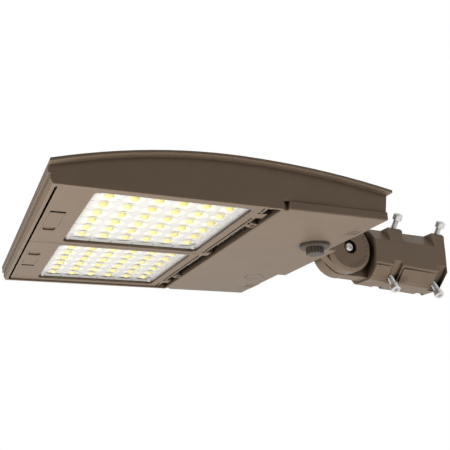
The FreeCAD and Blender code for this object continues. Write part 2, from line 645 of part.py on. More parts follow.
def cooling_fins(body):
    """Low fins along the roof, which rise from it and run out into it at both ends."""
    half = "((fin_front_x - fin_rear_x) / 2)"
    front, rear = "-fin_front_x", "-fin_rear_x"
    rise = f"(apex_z + fin_rise - (({roof_at(front, '0')}) + ({roof_at(rear, '0')})) / 2)"
    r = f"(({half}) ^ 2 + ({rise}) ^ 2) / (2 * {rise})"
    crest = [(front, roof_at(front, "roof / 2")), (front, roof_at(front, "0"), r, -1),
             (rear, roof_at(rear, "0")), (rear, roof_at(rear, "roof / 2"))]
    outline = crest[:3] + back_along(under_roof(front, rear, "roof / 2"))[:-1] + [crest[0]]
    span = "fin_pitch * (fin_count - 1)"
    fin = solid(body, "fin", "XZ", [outline[1:]], f"-{span} / 2 - fin / 2", f"-{span} / 2 + fin / 2")
    rows(body, [fin], ("Y", "fin_count", span))


def heat_plate():
    """Flat aluminium plate that carries both circuit boards."""
    body = new_body("heat_plate")
    outline = box("-heat_front_x", "-heat_half", "-heat_rear_x", "heat_half")
    solid(body, "plate", "XY", [outline], "heat_z", "heat_z + heat")
    holes = [circle(f"-optic_x + {i} * heat_screw_x", f"{j} * heat_screw_y", "m4_r + seat")
             for i in (-1, 0, 1) for j in (-1, 0, 1)]
    cut(body, "screw_holes", "XY", holes, "heat_z", "heat_z + heat")
    for name, side in SIDES.items():
        cut(body, f"lens_holes_{name}", "XY", lens_holes(side), "heat_z", "heat_z + heat")
    return in_head(body)


def lens_holes(side):
    """Circles for the lens screws of one side."""
    return [circle(f"-optic_x + {i} * lens_screw_x", f"{side} * optic_y + {j} * lens_screw_y", "m3_r + seat")
            for i in (-1, 1) for j in (-1, 1)]


def pan_screw(label, r, head_r, head, length):
    """Slotted pan head screw along z, its head below z = 0."""
    body = new_body(label)
    outline = [("0", f"-{head}"), (f"{head_r} - {head} / 2", f"-{head}"),
               (head_r, f"-{head} / 2"), (head_r, "0"), (r, "0"), (r, length), ("0", length)]
    feature = turned(body, "screw", outline)
    slots = [middle_box("0", "0", f"{head_r} - {head} / 2", "slot / 2")]
    slot = cut(body, "slot", "XY", slots, f"-{head}", f"-{head} / 2")
    return body, [feature, slot]


def heat_plate_screws():
    """Screws that hold the heat plate up to its bosses."""
    length = "heat + screw_bite - thread_gap"
    body, features = pan_screw("heat_plate_screws", "m4_r", "m4_head_r", "m4_head", length)
    rows(body, features, ("X", "3", "2 * heat_screw_x"), ("Y", "3", "2 * heat_screw_y"))
    return in_head(body, "-optic_x - heat_screw_x", "-heat_screw_y", "heat_z")


def led_board(name, side):
    """White circuit board of one side."""
    body = new_body(f"led_board_{name}")
    outline = middle_box("-optic_x", f"{side} * optic_y", "board / 2", "board / 2")
    solid(body, "board", "XY", [outline], "board_z", "heat_z")
    cut(body, "holes", "XY", lens_holes(side), "board_z", "heat_z")
    return in_head(body)


def led_chips(name, side):
    """LED packages of one board."""
    body = new_body(f"led_chips_{name}")
    chip = solid(body, "chip", "XY", [middle_box("0", "0", "chip / 2", "chip / 2")], "0", "chip_t")
    rows(body, [chip], ("X", "led_count", "led_span"), ("Y", "led_count", "led_span"))
    return in_head(body, "-optic_x - led_span / 2", f"{side} * optic_y - led_span / 2", "board_z - chip_t")


def lens_plate(name, side):
    """Clear plate with an upstand to the board and a dome under each LED."""
    body = new_body(f"lens_plate_{name}")
    half = "lens / 2"
    solid(body, "plate", "XY", [middle_box("0", "0", half, half)], "lens_z", "board_z")
    inner = f"{half} - lens_rim"
    cut(body, "hollow", "XY", [middle_box("0", "0", inner, inner)], "lens_z + lens_t", "board_z")
    spots = [(f"{i} * lens_screw_x", f"{j} * lens_screw_y") for i in (-1, 1) for j in (-1, 1)]
    solid(body, "posts", "XY", [circle(x, y, "2 * m3_r") for x, y in spots], "lens_z + lens_t / 2", "board_z")
    holes = [circle(x, y, "m3_r + seat") for x, y in spots]
    cut(body, "holes", "XY", holes, "lens_z", "board_z")
    dome = body.newObject("PartDesign::Revolution", f"{body.Name}_dome")
    profile = sketch_on(body, "dome", "XZ", "-led_span / 2", [[
        ("-led_span / 2", "lens_z + lens_t / 2"), ("-led_span / 2", "lens_z - dome_rise", "dome_ball", 1),
        ("-led_span / 2 + dome_r", "lens_z"), ("-led_span / 2 + dome_r", "lens_z + lens_t / 2")]])
    dome.Profile = profile
    dome.ReferenceAxis = (profile, ["Edge1"])
    dome.Angle = 360.0
    doc.recompute()
    rows(body, [dome], ("X", "led_count", "led_span"), ("Y", "led_count", "led_span"))
    return in_head(body, "-optic_x", f"{side} * optic_y")


def lens_screws(name, side):
    """Small screws that hold one lens plate and its board to the heat plate."""
    length = "heat_z + heat - lens_z - thread_gap"
    body, features = pan_screw(f"lens_screws_{name}", "m3_r", "m3_head_r", "m3_head", length)
    rows(body, features, ("X", "2", "2 * lens_screw_x"), ("Y", "2", "2 * lens_screw_y"))
    return in_head(body, "-optic_x - lens_screw_x", f"{side} * optic_y - lens_screw_y", "lens_z")


def door_outline(inset):
    """Outline of the LED door with rounded front corners, set in by a wall."""
    front, rear, half = f"-door_front + {inset}", f"-door_rear - {inset}", f"(door_half - {inset})"
    r, bend, straight = f"(door_corner - {inset})", "-door_front + door_corner", "(door_half - door_corner)"
    return [(bend, f"-{half}"), (rear, f"-{half}"), (rear, half), (bend, half, r, 1),
            (front, straight), (front, f"-{straight}", r, 1)]


def led_door():
    """Bezel frame with two windows, an upstand, latch slots and three hooked hinge lugs."""
    body = new_body("led_door")
    solid(body, "frame", "XY", [door_outline("0")], "door_z", "door_rim_z")
    cut(body, "hollow", "XY", [door_outline("door_rim")], "door_top", "door_rim_z")
    half = ("window_long / 2", "window_wide / 2")
    windows = [round_box("-optic_x", f"{side} * optic_y", *half, "window_corner") for side in (-1, 1)]
    cut(body, "windows", "XY", windows, "door_z", "door_top")
    slots = []
    for side in (-1, 1):
        near_end, far_end = "(latch_in - slide_gap)", "(latch_in + latch_long + latch_travel + slide_gap)"
        slots.append(box("-latch_x - slide_gap", f"{side} * {near_end}",
                         "-latch_x + latch_wide + slide_gap", f"{side} * {far_end}"))
    cut(body, "latch_slots", "XY", slots, "door_z", "door_top")
    line = box("-door_front", "-groove / 2", "-door_rear", "groove / 2")
    cut(body, "middle_groove", "XY", [line], "door_z", "door_z + groove_deep")
    lug = [("-door_rear - door_rim / 2", "door_rim_z"), ("-door_rear - door_rim / 2", "door_z")]
    lug += round_end("-arm_x", "hinge_z", "hinge_r", 1)
    bore = circle("-hinge_x", "hinge_z", "pin_r + running")
    for count, spot in enumerate((-1, 0, 1)):
        low, high = f"{spot} * lug_y - lug_half", f"{spot} * lug_y + lug_half"
        solid(body, f"lug_{count}", "XZ", [lug], low, high)
        cut(body, f"lug_bore_{count}", "XZ", [bore], low, high)
    return in_head(body)


def led_door_pins():
    """Pins in the housing's bosses on which the LED door swings."""
    body = new_body("led_door_pins")
    reach = "(lug_half + hinge_gap + hinge_boss)"
    rod = [circle("-hinge_x", "hinge_z", "pin_r")]
    pin = solid(body, "pin", "XZ", rod, f"-lug_y - {reach}", f"-lug_y + {reach}")
    rows(body, [pin], ("Y", "3", "2 * lug_y"))
    return in_head(body)


def led_door_gasket(name, side):
    """Silicone ring on the door round one window."""
    body = new_body(f"led_door_gasket_{name}")
    y = f"{side} * optic_y"
    ring = []
    for reach in ("gasket_in + gasket_wide", "gasket_in"):
        half = (f"window_long / 2 + {reach}", f"window_wide / 2 + {reach}")
        ring.append(round_box("-optic_x", y, *half, f"window_corner + {reach}"))
    solid(body, "ring", "XY", ring, "door_top", "lens_z")
    return in_head(body)


def latch(name, side):
    """Flush slide latch with a flange behind the door and a finger recess at its inner end."""
    body = new_body(f"latch_{name}")
    inner, outer = "latch_in", "(latch_in + latch_long)"
    plate = box("-latch_x", f"{side} * {inner}", "-latch_x + latch_wide", f"{side} * {outer}")
    flange_z = "door_top + slide_gap"
    solid(body, "plate", "XY", [plate], "door_z", f"{flange_z} + latch_flange_t")
    front, rear = "-latch_x - slide_gap - latch_flange", "-latch_x + latch_wide + slide_gap + latch_flange"
    flange = box(front, f"{side} * ({inner} + latch_end)", rear, f"{side} * ({outer} - latch_end)")
    solid(body, "flange", "XY", [flange], flange_z, f"{flange_z} + latch_flange_t")
    middle = ("-latch_x + latch_wide / 2", f"{side} * ({inner} + finger / 2 + door_rim)")
    pad = [round_box(*middle, "finger / 2", "finger / 2", "finger / 4")]
    cut(body, "finger", "XY", pad, "door_z", "door_z + finger_deep")
    return in_head(body)


def latch_keeper(name, side):
    """Strip over a latch's flange that holds the latch in its slot."""
    body = new_body(f"latch_keeper_{name}")
    under = "(door_top + 2 * slide_gap + latch_flange_t)"
    front, rear = "-door_front + door_rim", "-latch_x + latch_wide + 2 * slide_gap + latch_flange"
    strip = [(front, "door_top"), ("-latch_x - 2 * slide_gap - latch_flange", "door_top"),
             ("-latch_x - 2 * slide_gap - latch_flange", under), (rear, under), (rear, "door_top"),
             (f"{rear} + keeper_foot", "door_top"), (f"{rear} + keeper_foot", f"{under} + keeper"),
             (front, f"{under} + keeper")]
    y = f"{side} * (latch_in + latch_long / 2)"
    solid(body, "strip", "XZ", [strip], f"{y} - keeper_long / 2", f"{y} + keeper_long / 2")
    return in_head(body)


def tub_outline(inset):
    """Outline of the driver door with notched front corners and a rear tongue, set in by a wall."""
    front, notch = f"-tub_x + {inset}", f"-tub_x + tub_notch_x + {inset}"
    side, narrow = f"tub_half - {inset}", f"tub_half - tub_notch_y - {inset}"
    rear, tongue = f"-({inset})", f"tongue_half - {inset}"
    right = [(notch, narrow), (notch, side), (rear, side), (rear, tongue), (f"tongue_x - {inset}", tongue)]
    left = [(x, f"-({y})") for x, y in reversed(right)]
    return [(front, f"-({narrow})"), (front, narrow)] + right + left


def driver_door():
    """Shallow tray with a skirt, hinge arms, catch slots, the sensor port's hole and a blank ring."""
    body = new_body("driver_door")
    solid(body, "tray", "XY", [tub_outline("0")], "0", "tub_top")
    cut(body, "hollow", "XY", [tub_outline("tub")], "tub", "tub_top")
    dress(body, "Fillet", "tub_edge", lambda spots: all(near(spot.z, 0) for spot in spots))
    arm = [("-tub_x + tub / 2", "hinge_z - hinge_r"), ("-tub_x + tub / 2", "hinge_z + hinge_r")]
    arm += round_end("-arm_x", "hinge_z", "hinge_r", -1)
    bore = circle("-arm_x", "hinge_z", "pin_r + running")
    fork = middle_box("-arm_x", "hinge_z", "hinge_r + hinge_gap", "hinge_r + hinge_gap")
    for name, side in SIDES.items():
        low, high = f"{side} * arm_y - arm_half", f"{side} * arm_y + arm_half"
        solid(body, f"arm_{name}", "XZ", [arm], low, high)
        cut(body, f"arm_bore_{name}", "XZ", [bore], low, high)
        wide = "(tab_half + hinge_gap)"
        cut(body, f"fork_{name}", "XZ", [fork], f"{side} * arm_y - {wide}", f"{side} * arm_y + {wide}")
    half = "(catch_half + slide_gap)"
    slots = []
    for side in (-1, 1):
        low, high = f"{side} * catch_y - {half}", f"{side} * catch_y + {half}"
        slots.append(box("-catch_long - slide_gap", low, "past", high))
    cut(body, "catch_slots", "XY", slots, "0", "tub_top")
    cut(body, "port_hole", "XY", [circle("-port_x", "-port_y", "port_neck_r + 2 * running")], "0", "tub")
    ring = [circle("-port_x", "port_y", r) for r in ("mark_r", "mark_r - mark")]
    cut(body, "blank_mark", "XY", ring, "0", "mark_deep")
    return in_head(body)


def driver_door_pins():
    """Pins in the housing's tabs on which the driver door swings."""
    body = new_body("driver_door_pins")
    rod = [circle("-arm_x", "hinge_z", "pin_r")]
    pin = solid(body, "pin", "XZ", rod, "-arm_y - arm_half", "-arm_y + arm_half")
    rows(body, [pin], ("Y", "2", "2 * arm_y"))
    return in_head(body)


def door_catch(name, side):
    """Slide catch in the rear edge of the driver door, with grip ribs and a flange inside."""
    body = new_body(f"door_catch_{name}")
    y = f"{side} * catch_y"
    flange_z = "(tub + slide_gap)"
    low, high = f"{y} - catch_half", f"{y} + catch_half"
    solid(body, "plate", "XY", [box("-catch_long", low, "0", high)], "0", f"{flange_z} + catch_flange_t")
    wide = "(catch_half + slide_gap + catch_flange)"
    flange = box("-catch_long", f"{y} - {wide}", "-tub - catch_travel - 2 * slide_gap", f"{y} + {wide}")
    solid(body, "flange", "XY", [flange], flange_z, f"{flange_z} + catch_flange_t")
    solid(body, "upstand", "XY", [box("-tub", low, "0", high)], "tub", "tub_top - tub_gap")
    low, high = f"{y} - catch_half / 2", f"{y} + catch_half / 2"
    grip = [box("-catch_long + tub", low, "-catch_long + 2 * tub", high)]
    rib = cut(body, "grip", "XY", grip, "0", "mark_deep")
    rows(body, [rib], ("X", "catch_grip", "catch_long - 4 * tub"))
    return in_head(body)


def catch_keepers():
    """Strips over the catches' flanges."""
    body = new_body("catch_keepers")
    inner = "(catch_half + 2 * slide_gap + catch_flange)"
    outer = f"({inner} + keeper_foot)"
    under = "(tub + 2 * slide_gap + catch_flange_t)"
    y = "-catch_y"
    strip = [(f"{y} - {outer}", "tub"), (f"{y} - {inner}", "tub"), (f"{y} - {inner}", under),
             (f"{y} + {inner}", under), (f"{y} + {inner}", "tub"), (f"{y} + {outer}", "tub"),
             (f"{y} + {outer}", f"{under} + keeper"), (f"{y} - {outer}", f"{under} + keeper")]
    low = "-catch_long / 2 - keeper_long / 2"
    bridge = solid(body, "strip", "YZ", [strip], low, f"{low} + keeper_long / 2")
    rows(body, [bridge], ("Y", "2", "2 * catch_y"))
    return in_head(body)


def sensor_socket():
    """Port body: a flange under the door, a neck through it and a stub for the cap."""
    body = new_body("sensor_socket")
    flange = "-port_seal"
    outline = [("0", f"{flange} - port - port_stub"), ("port_stub_r", f"{flange} - port - port_stub"),
               ("port_stub_r", f"{flange} - port"), ("port_r", f"{flange} - port"), ("port_r", flange),
               ("port_neck_r", flange), ("port_neck_r", "tub + port_neck"), ("0", "tub + port_neck")]
    turned(body, "port", outline)
    dress(body, "Chamfer", "port / 4", lambda spots: all(
        near(spot.z, num(f"{flange} - port")) and near(math.hypot(spot.x, spot.y), num("port_r"))
        for spot in spots))
    return in_head(body, "-port_x", "-port_y")


def ring_part(label, inner, outer, low, high):
    """Flat ring about z."""
    body = new_body(label)
    solid(body, "ring", "XY", [circle("0", "0", outer), circle("0", "0", inner)], low, high)
    return body


def sensor_cap():
    """Fluted cap on the port's stub."""
    body = new_body("sensor_cap")
    top = "(-port_seal - port - slide_gap)"
    solid(body, "cap", "XY", [circle("0", "0", "cap_r")], f"{top} - cap", top)
    dress(body, "Chamfer", "cap_edge", lambda spots: all(near(spot.z, num(f"{top} - cap")) for spot in spots))
    flute = cut(body, "flute", "XY", [circle("cap_r", "0", "cap_flute_r")], f"{top} - cap", top)
    round_pattern(body, flute, "cap_flutes", (origin_feature(body, "Z_Axis"), [""]))
    bore = [circle("0", "0", "port_stub_r + running")]
    cut(body, "bore", "XY", bore, f"{top} - port_stub", top)
    return in_head(body, "-port_x", "-port_y")


def driver_plate():
    """Steel plate under the roof that carries the driver, surge protector and terminal block."""
    body = new_body("driver_plate")
    outline = middle_box("-bay_x", "0", "tray_long / 2", "tray_half")
    solid(body, "plate", "XY", [outline], "tray_z", "tray_z + tray")
    holes = bay_holes("hang_y", "m4_r") + bay_holes(EAR_Y, "m3_r")
    cut(body, "holes", "XY", holes, "tray_z", "tray_z + tray")
    return in_head(body)


def bay_holes(y, r):
    """Circles for four screws about the driver's middle."""
    return [circle(f"-bay_x + {i} * hang_x", f"{j} * {y}", f"{r} + seat") for i in (-1, 1) for j in (-1, 1)]


def driver_plate_screws():
    """Screws that hang the driver plate from the roof's bosses."""
    length = "tray + screw_bite - thread_gap"
    body, features = pan_screw("driver_plate_screws", "m4_r", "m4_head_r", "m4_head", length)
    rows(body, features, ("X", "2", "2 * hang_x"), ("Y", "2", "2 * hang_y"))
    return in_head(body, "-bay_x - hang_x", "-hang_y", "tray_z")


def led_driver():
    """Driver case with a screw ear at each end."""
    body = new_body("led_driver")
    case = round_box("-bay_x", "0", "driver_wide / 2", "driver_long / 2", "ear")
    solid(body, "case", "XY", [case], "tray_z - driver_tall", "tray_z")
    ears = middle_box("-bay_x", "0", "driver_wide / 2 - ear", "driver_long / 2 + driver_ear")
    solid(body, "ears", "XY", [ears], "tray_z - ear", "tray_z")
    cut(body, "holes", "XY", bay_holes(EAR_Y, "m3_r"), "tray_z - ear", "tray_z")
    return in_head(body)


def driver_screws():
    """Screws through the driver's ears."""
    body, features = pan_screw("driver_screws", "m3_r", "m3_head_r", "m3_head", "ear + tray")
    rows(body, features, ("X", "2", "2 * hang_x"), ("Y", "2", f"2 * {EAR_Y}"))
    return in_head(body, "-bay_x - hang_x", f"-{EAR_Y}", "tray_z - ear")


def surge_protector():
    """Potted surge protector under the driver plate."""
    body = new_body("surge_protector")
    outline = round_box("-bay_x", "surge_y", "surge_long / 2", "surge_wide / 2", "ear")
    solid(body, "case", "XY", [outline], "tray_z - surge_tall", "tray_z")
    return in_head(body)


def terminal_block():
    """Terminal block under the driver plate, with a row of wire entries."""
    body = new_body("terminal_block")
    outline = middle_box("-bay_x", "-surge_y", "block_long / 2", "block_wide / 2")
    solid(body, "case", "XY", [outline], "tray_z - block_tall", "tray_z")
    pitch = "(block_long / pole_count)"
    first = f"-bay_x - block_long / 2 + {pitch} / 2"
    entry = cut(body, "entry", "XY", [circle(first, "-surge_y", f"{pitch} / 3")],
                "tray_z - block_tall", "tray_z - block_tall / 2")
    rows(body, [entry], ("X", "pole_count", f"{pitch} * (pole_count - 1)"))
    return in_head(body)


def on_ring(side, x, z, r):
    """Make a test for the edges of a circle that lies across y, given its side, centre and radius."""
    def test(spots):
        centre = Vector(num(x), num(side), num(z))
        return all(near(spot.y, centre.y) and near((spot - centre).Length, num(r)) for spot in spots)
    return test


def bolt_hole(body, x, z, r, low, high):
    """Bore a half disc on a sketch centred on the knuckle's axis, and return that sketch."""
    hole = cut(body, "bolt_hole", "XZ", [circle("0", "0", r)], low, high, (x, z))
    return hole.Profile[0]


def radial_teeth(body, pivot, x, z, face, crest):
    """Ring of radial teeth from a half disc's face to their crest, round the pivot sketch's axis."""
    half = "pi * tooth_in / tooth_count"
    root = f"2 * ({face}) - ({crest})"
    tooth = [(root, f"{z} - {half}"), (face, f"{z} - {half}"), (crest, z), (face, f"{z} + {half}"),
             (root, f"{z} + {half}")]
    feature = solid(body, "tooth", "YZ", [tooth], f"{x} + tooth_in", f"{x} + disc_r - tooth")
    round_pattern(body, feature, "tooth_count", (pivot, ["N_Axis"]))


def knuckle_arm():
    """Casting on the rear wall: flange, web and the toothed half disc on the left of the knuckle."""
    body = new_body("knuckle_arm")
    flange = box("-flange_half", "flange_low", "flange_half", "flange_top")
    solid(body, "flange", "YZ", [flange], "arm_gasket - rear_wall_x", "arm_root")
    x, z = "knuckle_x", "knuckle_z"
    outer, crest = "-disc", "-split_y - disc_gap"
    face = f"({crest} - tooth)"
    solid(body, "disc", "XZ", [circle(x, z, "disc_r")], outer, face)
    dress(body, "Chamfer", "disc_edge", on_ring(outer, x, z, "disc_r"))
    web = [("arm_gasket - rear_wall_x", "flange_low"), ("tongue_x + tub", "flange_low"),
           (f"{x} - disc_r * cos(web_low)", f"{z} - disc_r * sin(web_low)"), (x, z),
           (f"{x} - disc_r * cos(web_top)", f"{z} + disc_r * sin(web_top)"), ("lip_x + past", "flange_top"),
           ("arm_gasket - rear_wall_x", "flange_top")]
    solid(body, "web", "XZ", [web], "-flange_half + disc_edge", face)
    pivot = bolt_hole(body, x, z, "bolt_r + seat", outer, "0")
    cut(body, "bolt_sink", "XZ", [circle(x, z, "bolt_sink_r")], outer, f"{outer} + bolt_sink")
    cut(body, "arm_bolts", "YZ", arm_bolt_circles(), "-rear_wall_x", "flange")
    cut(body, "wire_way", "YZ", [circle("wire_y", z, "wire_r")], "-rear_wall_x", "arm_root")
    radial_teeth(body, pivot, x, z, face, crest)
    return in_head(body)


def arm_bolt_circles():
    """Circles for the arm's two bolts."""
    return [circle(f"{side} * arm_bolt_y", "knuckle_z", "m8_r + seat") for side in (-1, 1)]


def arm_gasket():
    """Gasket between the arm's flange and the rear wall."""
    body = new_body("arm_gasket")
    outline = box("-flange_half", "flange_low", "flange_half", "flange_top")
    holes = arm_bolt_circles() + [circle("wire_y", "knuckle_z", "wire_r")]
    solid(body, "sheet", "YZ", [outline] + holes, "-rear_wall_x", "arm_gasket - rear_wall_x")
    return in_head(body)


def socket_screw(label, length):
    """M8 socket head screw along z: its head above z = 0, its shank below."""
    body = new_body(label)
    tip = f"-({length})"
    outline = [("0", tip), ("m8_r - screw_edge", tip), ("m8_r", f"{tip} + screw_edge"), ("m8_r", "0"),
               ("m8_head_r", "0"), ("m8_head_r", "m8_head - screw_edge"),
               ("m8_head_r - screw_edge", "m8_head"), ("0", "m8_head")]
    feature = turned(body, "screw", outline)
    key = cut(body, "key", "XY", [hexagon("m8_key")], "m8_head / 2", "m8_head")
    return body, [feature, key]


def arm_bolts():
    """Screws from inside the driver bay into the arm's flange."""
    reach = "wall + rear_wall_x + flange - thread_gap"
    body, features = socket_screw("arm_bolts", reach)
    rows(body, features, ("Y", "2", "2 * arm_bolt_y"))
    in_head(body, "-rear_wall_x - wall", "-arm_bolt_y", "knuckle_z")
    body.Placement.Rotation = Rotation(Vector(0, 1, 0), -90)
    return body


def across(body):
    """Place a sub-part drawn along z on the knuckle's axis, its z towards the left."""
    in_head(body, "knuckle_x", "0", "knuckle_z")
    body.Placement.Rotation = Rotation(Vector(1, 0, 0), 90)
    return body


def knuckle_bolt():
    """Button head bolt through both half discs, drawn along z with its head up."""
    body = new_body("knuckle_bolt")
    top = "(disc - bolt_sink)"
    rim = f"{top} + screw_edge"
    tip = f"{NUT_SEAT} - washer - nut - screw_edge"
    outline = [("0", tip), ("bolt_r", tip), ("bolt_r", top), ("bolt_head_r", top),
               ("bolt_head_r", rim, "bolt_head_r", 1),
               ("bolt_head_r / 2", f"{top} + bolt_head"), ("0", f"{top} + bolt_head")]
    turned(body, "bolt", outline)
    cut(body, "key", "XY", [hexagon("bolt_key")], rim, f"{top} + bolt_head")
    return across(body)


def knuckle_washer():
    """Washer under the knuckle nut."""
    body = ring_part("knuckle_washer", "bolt_r + seat", "washer_r", f"{NUT_SEAT} - washer", NUT_SEAT)
    return across(body)


def knuckle_nut():
    """Hexagon nut on the knuckle bolt."""
    body = new_body("knuckle_nut")
    top = f"{NUT_SEAT} - washer"
    solid(body, "nut", "XY", [hexagon("nut_flats"), circle("0", "0", "bolt_r + seat")], f"{top} - nut", top)
    return across(body)


def octagon(half, flat):
    """Outline of the tube across its axis, from its half width and the half width of one flat."""
    corners = [(half, flat), (flat, half), (f"-{flat}", half), (f"-{half}", flat)]
    return corners + [(f"-{y}", f"-{z}") for y, z in corners]


def slanted_bar(side, low, high, half):
    """Outline of a bar on one lower slanted flat, between two distances from the axis."""
    points = [(low, f"-({half})"), (high, f"-({half})"), (high, half), (low, half)]
    return [(f"{side} * (({depth}) + ({along})) / sqrt(2)", f"(({along}) - ({depth})) / sqrt(2)")
            for depth, along in points]


def screw_boss(side, station):
    """Outline of a square corner on one upper slanted flat, level with the flats beside it."""
    half = f"(tube_half - (tube_half - root_half) * {station} / tube_long)"
    bevel = f"({half} - boss_edge)"
    inner = "root_flat"
    corners = [(inner, inner), (half, inner), (half, bevel), (bevel, half), (inner, half)]
    return [(f"{side} * {y}", z) for y, z in corners]


def slipfitter():
    """Drafted octagonal tenon socket with bosses, pads and pockets, a neck and the other half disc."""
    body = new_body("slipfitter")
    tube = body.newObject("PartDesign::AdditiveLoft", "slipfitter_tube")
    tube.Profile = sketch_on(body, "root", "YZ", "-tube_long", [octagon("root_half", "root_flat")])
    bevel = octagon("(tube_half - mouth_edge)", "(flat_half - mouth_edge * (sqrt(2) - 1))")
    tube.Sections = [sketch_on(body, "mouth", "YZ", "-mouth_edge", [octagon("tube_half", "flat_half")]),
                     sketch_on(body, "bevel", "YZ", "0", [bevel])]
    tube.Ruled = True
    tube.Refine = False
    doc.recompute()
    for name, facet, low, high in (
            ("out", "facet_mid", "-station_in + notch / 2", "-station_out - notch / 2"),
            ("in", "facet_root", "-tube_long", "-station_in - notch / 2")):
        pads = [slanted_bar(side, f"{facet} - wall", f"{facet} + pad_rise", "pad_half") for side in (-1, 1)]
        solid(body, f"pads_{name}", "YZ", pads, low, high)
    for station in STATIONS:
        bosses = [screw_boss(side, station) for side in (-1, 1)]
        solid(body, f"boss_{station}", "YZ", bosses, f"-{station} - notch / 2",
              f"min(-mouth_edge; -{station} + notch / 2)")
        pockets = [slanted_bar(side, "facet_root - pocket", "facet + notch", "notch") for side in (-1, 1)]
        cut(body, f"pocket_{station}", "YZ", pockets, f"-{station} - pocket_long / 2",
            f"-{station} + pocket_long / 2")
    x, crest = "-slip_long", "-split_y + disc_gap"
    face = f"({crest} + tooth)"
    solid(body, "disc", "XZ", [circle(x, "0", "disc_r")], face, "disc_far")
    dress(body, "Chamfer", "mouth_edge", on_ring("disc_far", x, "0", "disc_r"))
    solid(body, "hub", "XZ", [circle(x, "0", "hub_r")], face, "hub")
    for name, half, high in (("neck", "neck_half", "disc_far - mouth_edge"),
                             ("hub_neck", "hub_neck_half", "hub")):
        solid(body, name, "XZ", [box(x, f"-{half}", "-tube_long + wall", half)], face, high)
    cut(body, "socket", "YZ", [circle("0", "0", "socket_r")], "-socket", "0")
    pivot = bolt_hole(body, x, "0", "bolt_r + running", crest, "hub")
    cut(body, "nut_sink", "XZ", [circle(x, "0", "nut_sink_r")], "hub - nut_sink", "hub")
    cut(body, "wire_way", "YZ", [circle("wire_y", "wire_up", "wire_r")], f"{x} - hub_r", "-socket")
    lip = [circle("wire_y", "wire_up", "grommet_r + seat")]
    cut(body, "grommet_seat", "YZ", lip, "-socket - grommet", "-socket")
    radial_teeth(body, pivot, x, "0", face, crest)
    for row_name, (angle, _, _) in SCREW_ROWS.items():
        for station in STATIONS:
            hole = body.newObject("PartDesign::SubtractiveCylinder", f"screw_hole_{row_name}_{station}")
            hole.AttachmentSupport = [(origin_feature(body, "XY_Plane"), "")]
            hole.MapMode = "FlatFace"
            hole.AttachmentOffset = Placement(Vector(), Rotation(Vector(1, 0, 0), num(f"90 - ({angle})")))
            hole.setExpression("AttachmentOffset.Base.x", expr(f"-{station}"))
            hole.setExpression("AttachmentOffset.Rotation.Angle", expr(f"90 - ({angle})"))
            hole.setExpression("Radius", expr("m8_r + running"))
            hole.setExpression("Height", expr("2 * tube_half"))
            doc.recompute()
    return in_slipfitter(body)


def set_screw(number, angle, head, shank, station):
    """Set screw of one row and station, its tip behind the socket's wall."""
    body, _ = socket_screw(f"set_screw_{number}", shank)
    slope = Placement(Vector(), Rotation(Vector(0, 1, 0), num("tilt")))
    aim = Placement(Vector(-num(station), 0, 0), Rotation(Vector(1, 0, 0), num(f"90 - ({angle})")))
    lift = Placement(Vector(0, 0, num(head)), Rotation())
    body.Placement = slope.multiply(aim).multiply(lift)
    return body


def wire_grommet():
    """Rubber bush in the end wall of the socket."""
    body = new_body("wire_grommet")
    bore = circle("wire_y", "wire_up", "wire_r - grommet")
    lip = [circle("wire_y", "wire_up", "grommet_r"), bore]
    solid(body, "lip", "YZ", lip, "-socket - grommet", "-socket")
    sleeve = [circle("wire_y", "wire_up", "wire_r - seat"), bore]
    solid(body, "sleeve", "YZ", sleeve, "-tube_long", "-socket - grommet")
    return in_slipfitter(body)


def build():
    """Make every sub-part and return them in order."""
    parts = [housing(), heat_plate(), heat_plate_screws()]
    for name, side in SIDES.items():
        parts += [led_board(name, side), led_chips(name, side), lens_plate(name, side),
                  lens_screws(name, side), led_door_gasket(name, side), latch(name, side),
                  latch_keeper(name, side), door_catch(name, side)]
    parts += [led_door(), led_door_pins(), driver_door(), driver_door_pins(), catch_keepers(),
              sensor_socket()]
    seal = ring_part("sensor_seal", "port_neck_r + seat", "port_r - port_seal", "-port_seal", "0")
    nut = ring_part("sensor_ring_nut", "port_neck_r + seat", "port_nut_r", "tub", "tub + port_nut")
    parts += [in_head(ring, "-port_x", "-port_y") for ring in (seal, nut)]
    parts += [sensor_cap(), driver_plate(), driver_plate_screws(), led_driver(), driver_screws(),
              surge_protector(), terminal_block(), knuckle_arm(), arm_gasket(), arm_bolts(),
              knuckle_bolt(), knuckle_washer(), knuckle_nut(), slipfitter(), wire_grommet()]
    spots = [(*row, station) for row in SCREW_ROWS.values() for station in STATIONS]
    return parts + [set_screw(number, *spot) for number, spot in enumerate(spots, start=1)]


def export(parts):
    """Check every object and write each sub-part's file."""
    doc.recompute()
    failed = [item.Name for item in doc.Objects if "Invalid" in item.State or "Error" in item.State]
    if failed:
        raise RuntimeError("failed: " + ", ".join(failed))
    for part in parts:
        if part.Shape.isNull() or not part.Shape.isValid():
            raise RuntimeError(f"{part.Label} has no valid shape")
    os.makedirs("parts", exist_ok=True)
    for part in parts:
        part.Shape.exportStep(f"parts/{part.Label}.step")
        print(part.Label, len(part.Shape.Solids), "solids", round(part.Shape.Volume / 1000, 2), "cm3")


export(build())
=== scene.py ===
"""Looks of an LED flood light: a bronze cast head with two lens windows, hung on a slipfitter.

Every piece is in metres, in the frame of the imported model. The head's own reference point is the middle
of its rear edge, level with the driver door's underside. Left is -Y, the side that faces the camera.
"""
import json
import logging
import math
from dataclasses import dataclass, field
from enum import Enum
from typing import Any, Iterable

import bmesh
import bpy
from mathutils import Matrix, Vector


